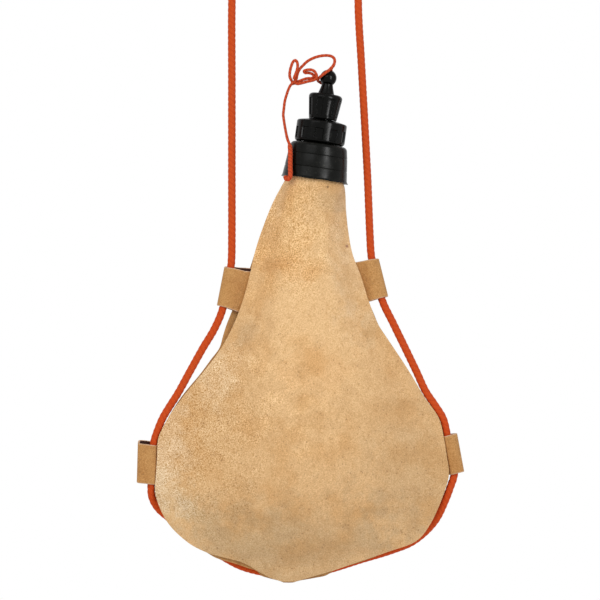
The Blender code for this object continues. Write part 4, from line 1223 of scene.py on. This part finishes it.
def rounded_ends(count, step, length, least):
    """How full a cord is at each of its points, which lie a step apart: its cut ends are round."""
    reach = np.minimum(np.arange(count), np.arange(count)[::-1]) * step
    return np.sqrt(np.clip(1 - (1 - reach / length).clip(0) ** 2, least, 1))


def knot_tail(end, way, along, shares):
    """One of the knot's tails: it runs on from a wrap's end and bends towards the cord."""
    return [end + way * tail_length * share + along * tail_bend * share**2 + knot_out * tail_spread * share
            for share in shares]


knot_up = Vector((0, 1, 0))
knot_out = knot_along.cross(knot_up)
wraps = []
for step in np.linspace(0, 1, wrap_count * wrap_points + 1):
    turn = math.tau * wrap_count * step
    along = (step - 0.5) * wrap_count * wrap_diameter * wrap_tightness
    around = knot_up * math.sin(turn) + knot_out * math.cos(turn)
    wraps.append(knot_place + knot_along * along + around * wrap_radius)
tail_shares = (0.25, 0.5, 0.75, 1.0)
first_tail = knot_tail(wraps[0], (wraps[0] - wraps[1]).normalized(), -knot_along, tail_shares[::-1])
last_tail = knot_tail(wraps[-1], (wraps[-1] - wraps[-2]).normalized(), knot_along, tail_shares)
knot_line, knot_length = smooth_route(first_tail + wraps + last_tail, knot_step)
knot_round = rounded_ends(len(knot_line), knot_length / (len(knot_line) - 1), tail_end_round, 0.02)
knot = twisted_cord("carry_cord_barrel_knot", knot_line, wrap_diameter, cord_lay, orange_cord,
                    swell=knot_round)
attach(knot, "root")
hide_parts("carry_cord_knot")


# The keeper cord
# A thin orange cord that keeps the cap from getting lost. It is doubled under the collar's rim,
# runs up beside the nozzle as one strand, and ends in the knot at the cap's ball.
keeper_diameter = 0.0018
keeper_lay = 0.0048
keeper_hitch_share = 1.6
keeper_hitch_top = -0.1335
keeper_hitch_end = -0.1315
keeper_end_step = 0.0004
keeper_step = 0.0003
KEEPER_ROUTE = (
    (-0.0051, -0.0136, -0.1516), (-0.0047, -0.0143, -0.1526), (-0.0036, -0.0154, -0.1530),
    (-0.0026, -0.0165, -0.1523), (-0.0022, -0.0168, -0.1508), (-0.0022, -0.0151, -0.1470),
    (-0.0022, -0.0131, -0.1420), (-0.0022, -0.0113, -0.1370), (-0.0023, -0.0100, -0.1345),
    (-0.0027, -0.0084, -0.1320), (-0.0037, -0.0070, -0.1294), (-0.0051, -0.0058, -0.1232),
    (-0.0061, -0.0052, -0.1170), (-0.0064, -0.0050, -0.1146), (-0.0060, -0.0047, -0.1101),
    (-0.0055, -0.0045, -0.1061), (-0.0044, -0.0043, -0.1021), (-0.0033, -0.0042, -0.0989),
    (-0.0020, -0.0041, -0.0964), (-0.0010, -0.0042, -0.0954),
)
keeper_line, _length = smooth_route(KEEPER_ROUTE, keeper_end_step)
keeper_middle = len(keeper_line) // 2
keeper_lap = 2
keeper_ends = {
    "keeper_cord_lower": (keeper_line[:keeper_middle + keeper_lap], "root", "nozzle_seal", 0.0),
    "keeper_cord_upper": (keeper_line[keeper_middle - keeper_lap:], "nozzle", "cap_seal", 0.06),
}
keeper_strand = cord_material("keeper_cord", 2.0, (218, 84, 40), (168, 58, 28), (190, 66, 34))
for name, (line, below, above, thinner) in keeper_ends.items():
    doubled = eased((keeper_hitch_end - line[:, 2]) / (keeper_hitch_end - keeper_hitch_top))
    strand = twisted_cord(name, line, keeper_diameter * (1 - thinner), keeper_lay, keeper_strand, strands=2,
                          groove=0.10, sides=20, swell=1 + (keeper_hitch_share - 1) * doubled)
    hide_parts("keeper_cord")
    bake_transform(strand)

# Its loops at the ball: a wide one over the ball and behind its waist, an upright bow, and a
# folded end, all drawn together by a turn and a half of the same cord in one small knot
KEEPER_LOOP_ROUTE = (
    (0.0002, -0.0042, -0.0944), (0.0014, -0.0042, -0.0926), (0.0018, -0.0043, -0.0908),
    (0.0024, -0.0043, -0.0888), (0.0034, -0.0042, -0.0868), (0.0055, -0.0041, -0.0845),
    (0.0082, -0.0040, -0.0820), (0.0113, -0.0038, -0.0803), (0.0145, -0.0038, -0.0792),
    (0.0175, -0.0039, -0.0787), (0.0206, -0.0042, -0.0787), (0.0229, -0.0047, -0.0794),
    (0.0242, -0.0054, -0.0809), (0.0243, -0.0061, -0.0828), (0.0232, -0.0066, -0.0852),
    (0.0213, -0.0063, -0.0872), (0.0190, -0.0058, -0.0889), (0.0168, -0.0053, -0.0905),
    (0.0150, -0.0038, -0.0920), (0.0143, -0.0010, -0.0931), (0.0150, 0.0024, -0.0938),
    (0.0174, 0.0052, -0.0947), (0.0204, 0.0062, -0.0945), (0.0230, 0.0060, -0.0927),
    (0.0234, 0.0058, -0.0900), (0.0226, 0.0048, -0.0880), (0.0224, 0.0030, -0.0862),
    (0.0236, 0.0002, -0.0846), (0.0242, -0.0030, -0.0834),
)
KEEPER_BOW_ROUTE = (
    (-0.0012, -0.0045, -0.0941), (-0.0023, -0.0049, -0.0921), (-0.0026, -0.0049, -0.0905),
    (-0.0024, -0.0050, -0.0882), (-0.0016, -0.0050, -0.0850), (-0.0006, -0.0049, -0.0826),
    (0.0007, -0.0049, -0.0815), (0.0018, -0.0053, -0.0826), (0.0022, -0.0058, -0.0850),
    (0.0016, -0.0063, -0.0881), (0.0006, -0.0066, -0.0908), (-0.0003, -0.0062, -0.0932),
)
KEEPER_TAIL_ROUTE = (
    (0.0004, -0.0044, -0.0952), (0.0020, -0.0046, -0.0956), (0.0050, -0.0048, -0.0951),
    (0.0084, -0.0050, -0.0942), (0.0112, -0.0051, -0.0936), (0.0130, -0.0054, -0.0928),
    (0.0136, -0.0060, -0.0912), (0.0130, -0.0060, -0.0894), (0.0118, -0.0057, -0.0879),
    (0.0101, -0.0055, -0.0873), (0.0076, -0.0053, -0.0874), (0.0060, -0.0046, -0.0880),
    (0.0066, -0.0036, -0.0889), (0.0090, -0.0034, -0.0890), (0.0112, -0.0036, -0.0899),
    (0.0121, -0.0036, -0.0913), (0.0106, -0.0034, -0.0922), (0.0080, -0.0033, -0.0923),
    (0.0055, -0.0033, -0.0930), (0.0034, -0.0033, -0.0938), (0.0012, -0.0030, -0.0944),
)
tight_turns = 1.6
tight_place = (-0.0004, -0.0042, -0.0948)
tight_half_width = 0.0008
tight_half_depth = 0.0011
tight_pitch = 0.0011
tight_tilt = 0.0004
tight_points = 60
tight_route = []
for turn in np.linspace(0, tight_turns, tight_points):
    across, forward = math.cos(math.tau * turn), math.sin(math.tau * turn)
    tight_route.append((tight_place[0] + tight_half_width * across,
                        tight_place[1] + tight_half_depth * forward,
                        tight_place[2] + tight_pitch * (turn - tight_turns / 2) + tight_tilt * across))
keeper_pieces = (
    ("keeper_wide_loop", KEEPER_LOOP_ROUTE, "keeper_loop"),
    ("keeper_upright_bow", KEEPER_BOW_ROUTE, "keeper_bow"),
    ("keeper_folded_end", KEEPER_TAIL_ROUTE, "keeper_tail"),
    ("keeper_tight_knot", tight_route, "keeper_knot"),
)
for name, route, node in keeper_pieces:
    line, _length = smooth_route(route, keeper_step)
    rounded = rounded_ends(len(line), keeper_step, keeper_diameter / 2, 0.05)
    strand = twisted_cord(name, line, keeper_diameter, keeper_lay, keeper_strand, strands=2, groove=0.12,
                          sides=16, swell=rounded)
    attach(strand, "cap_seal")
    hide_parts(node)
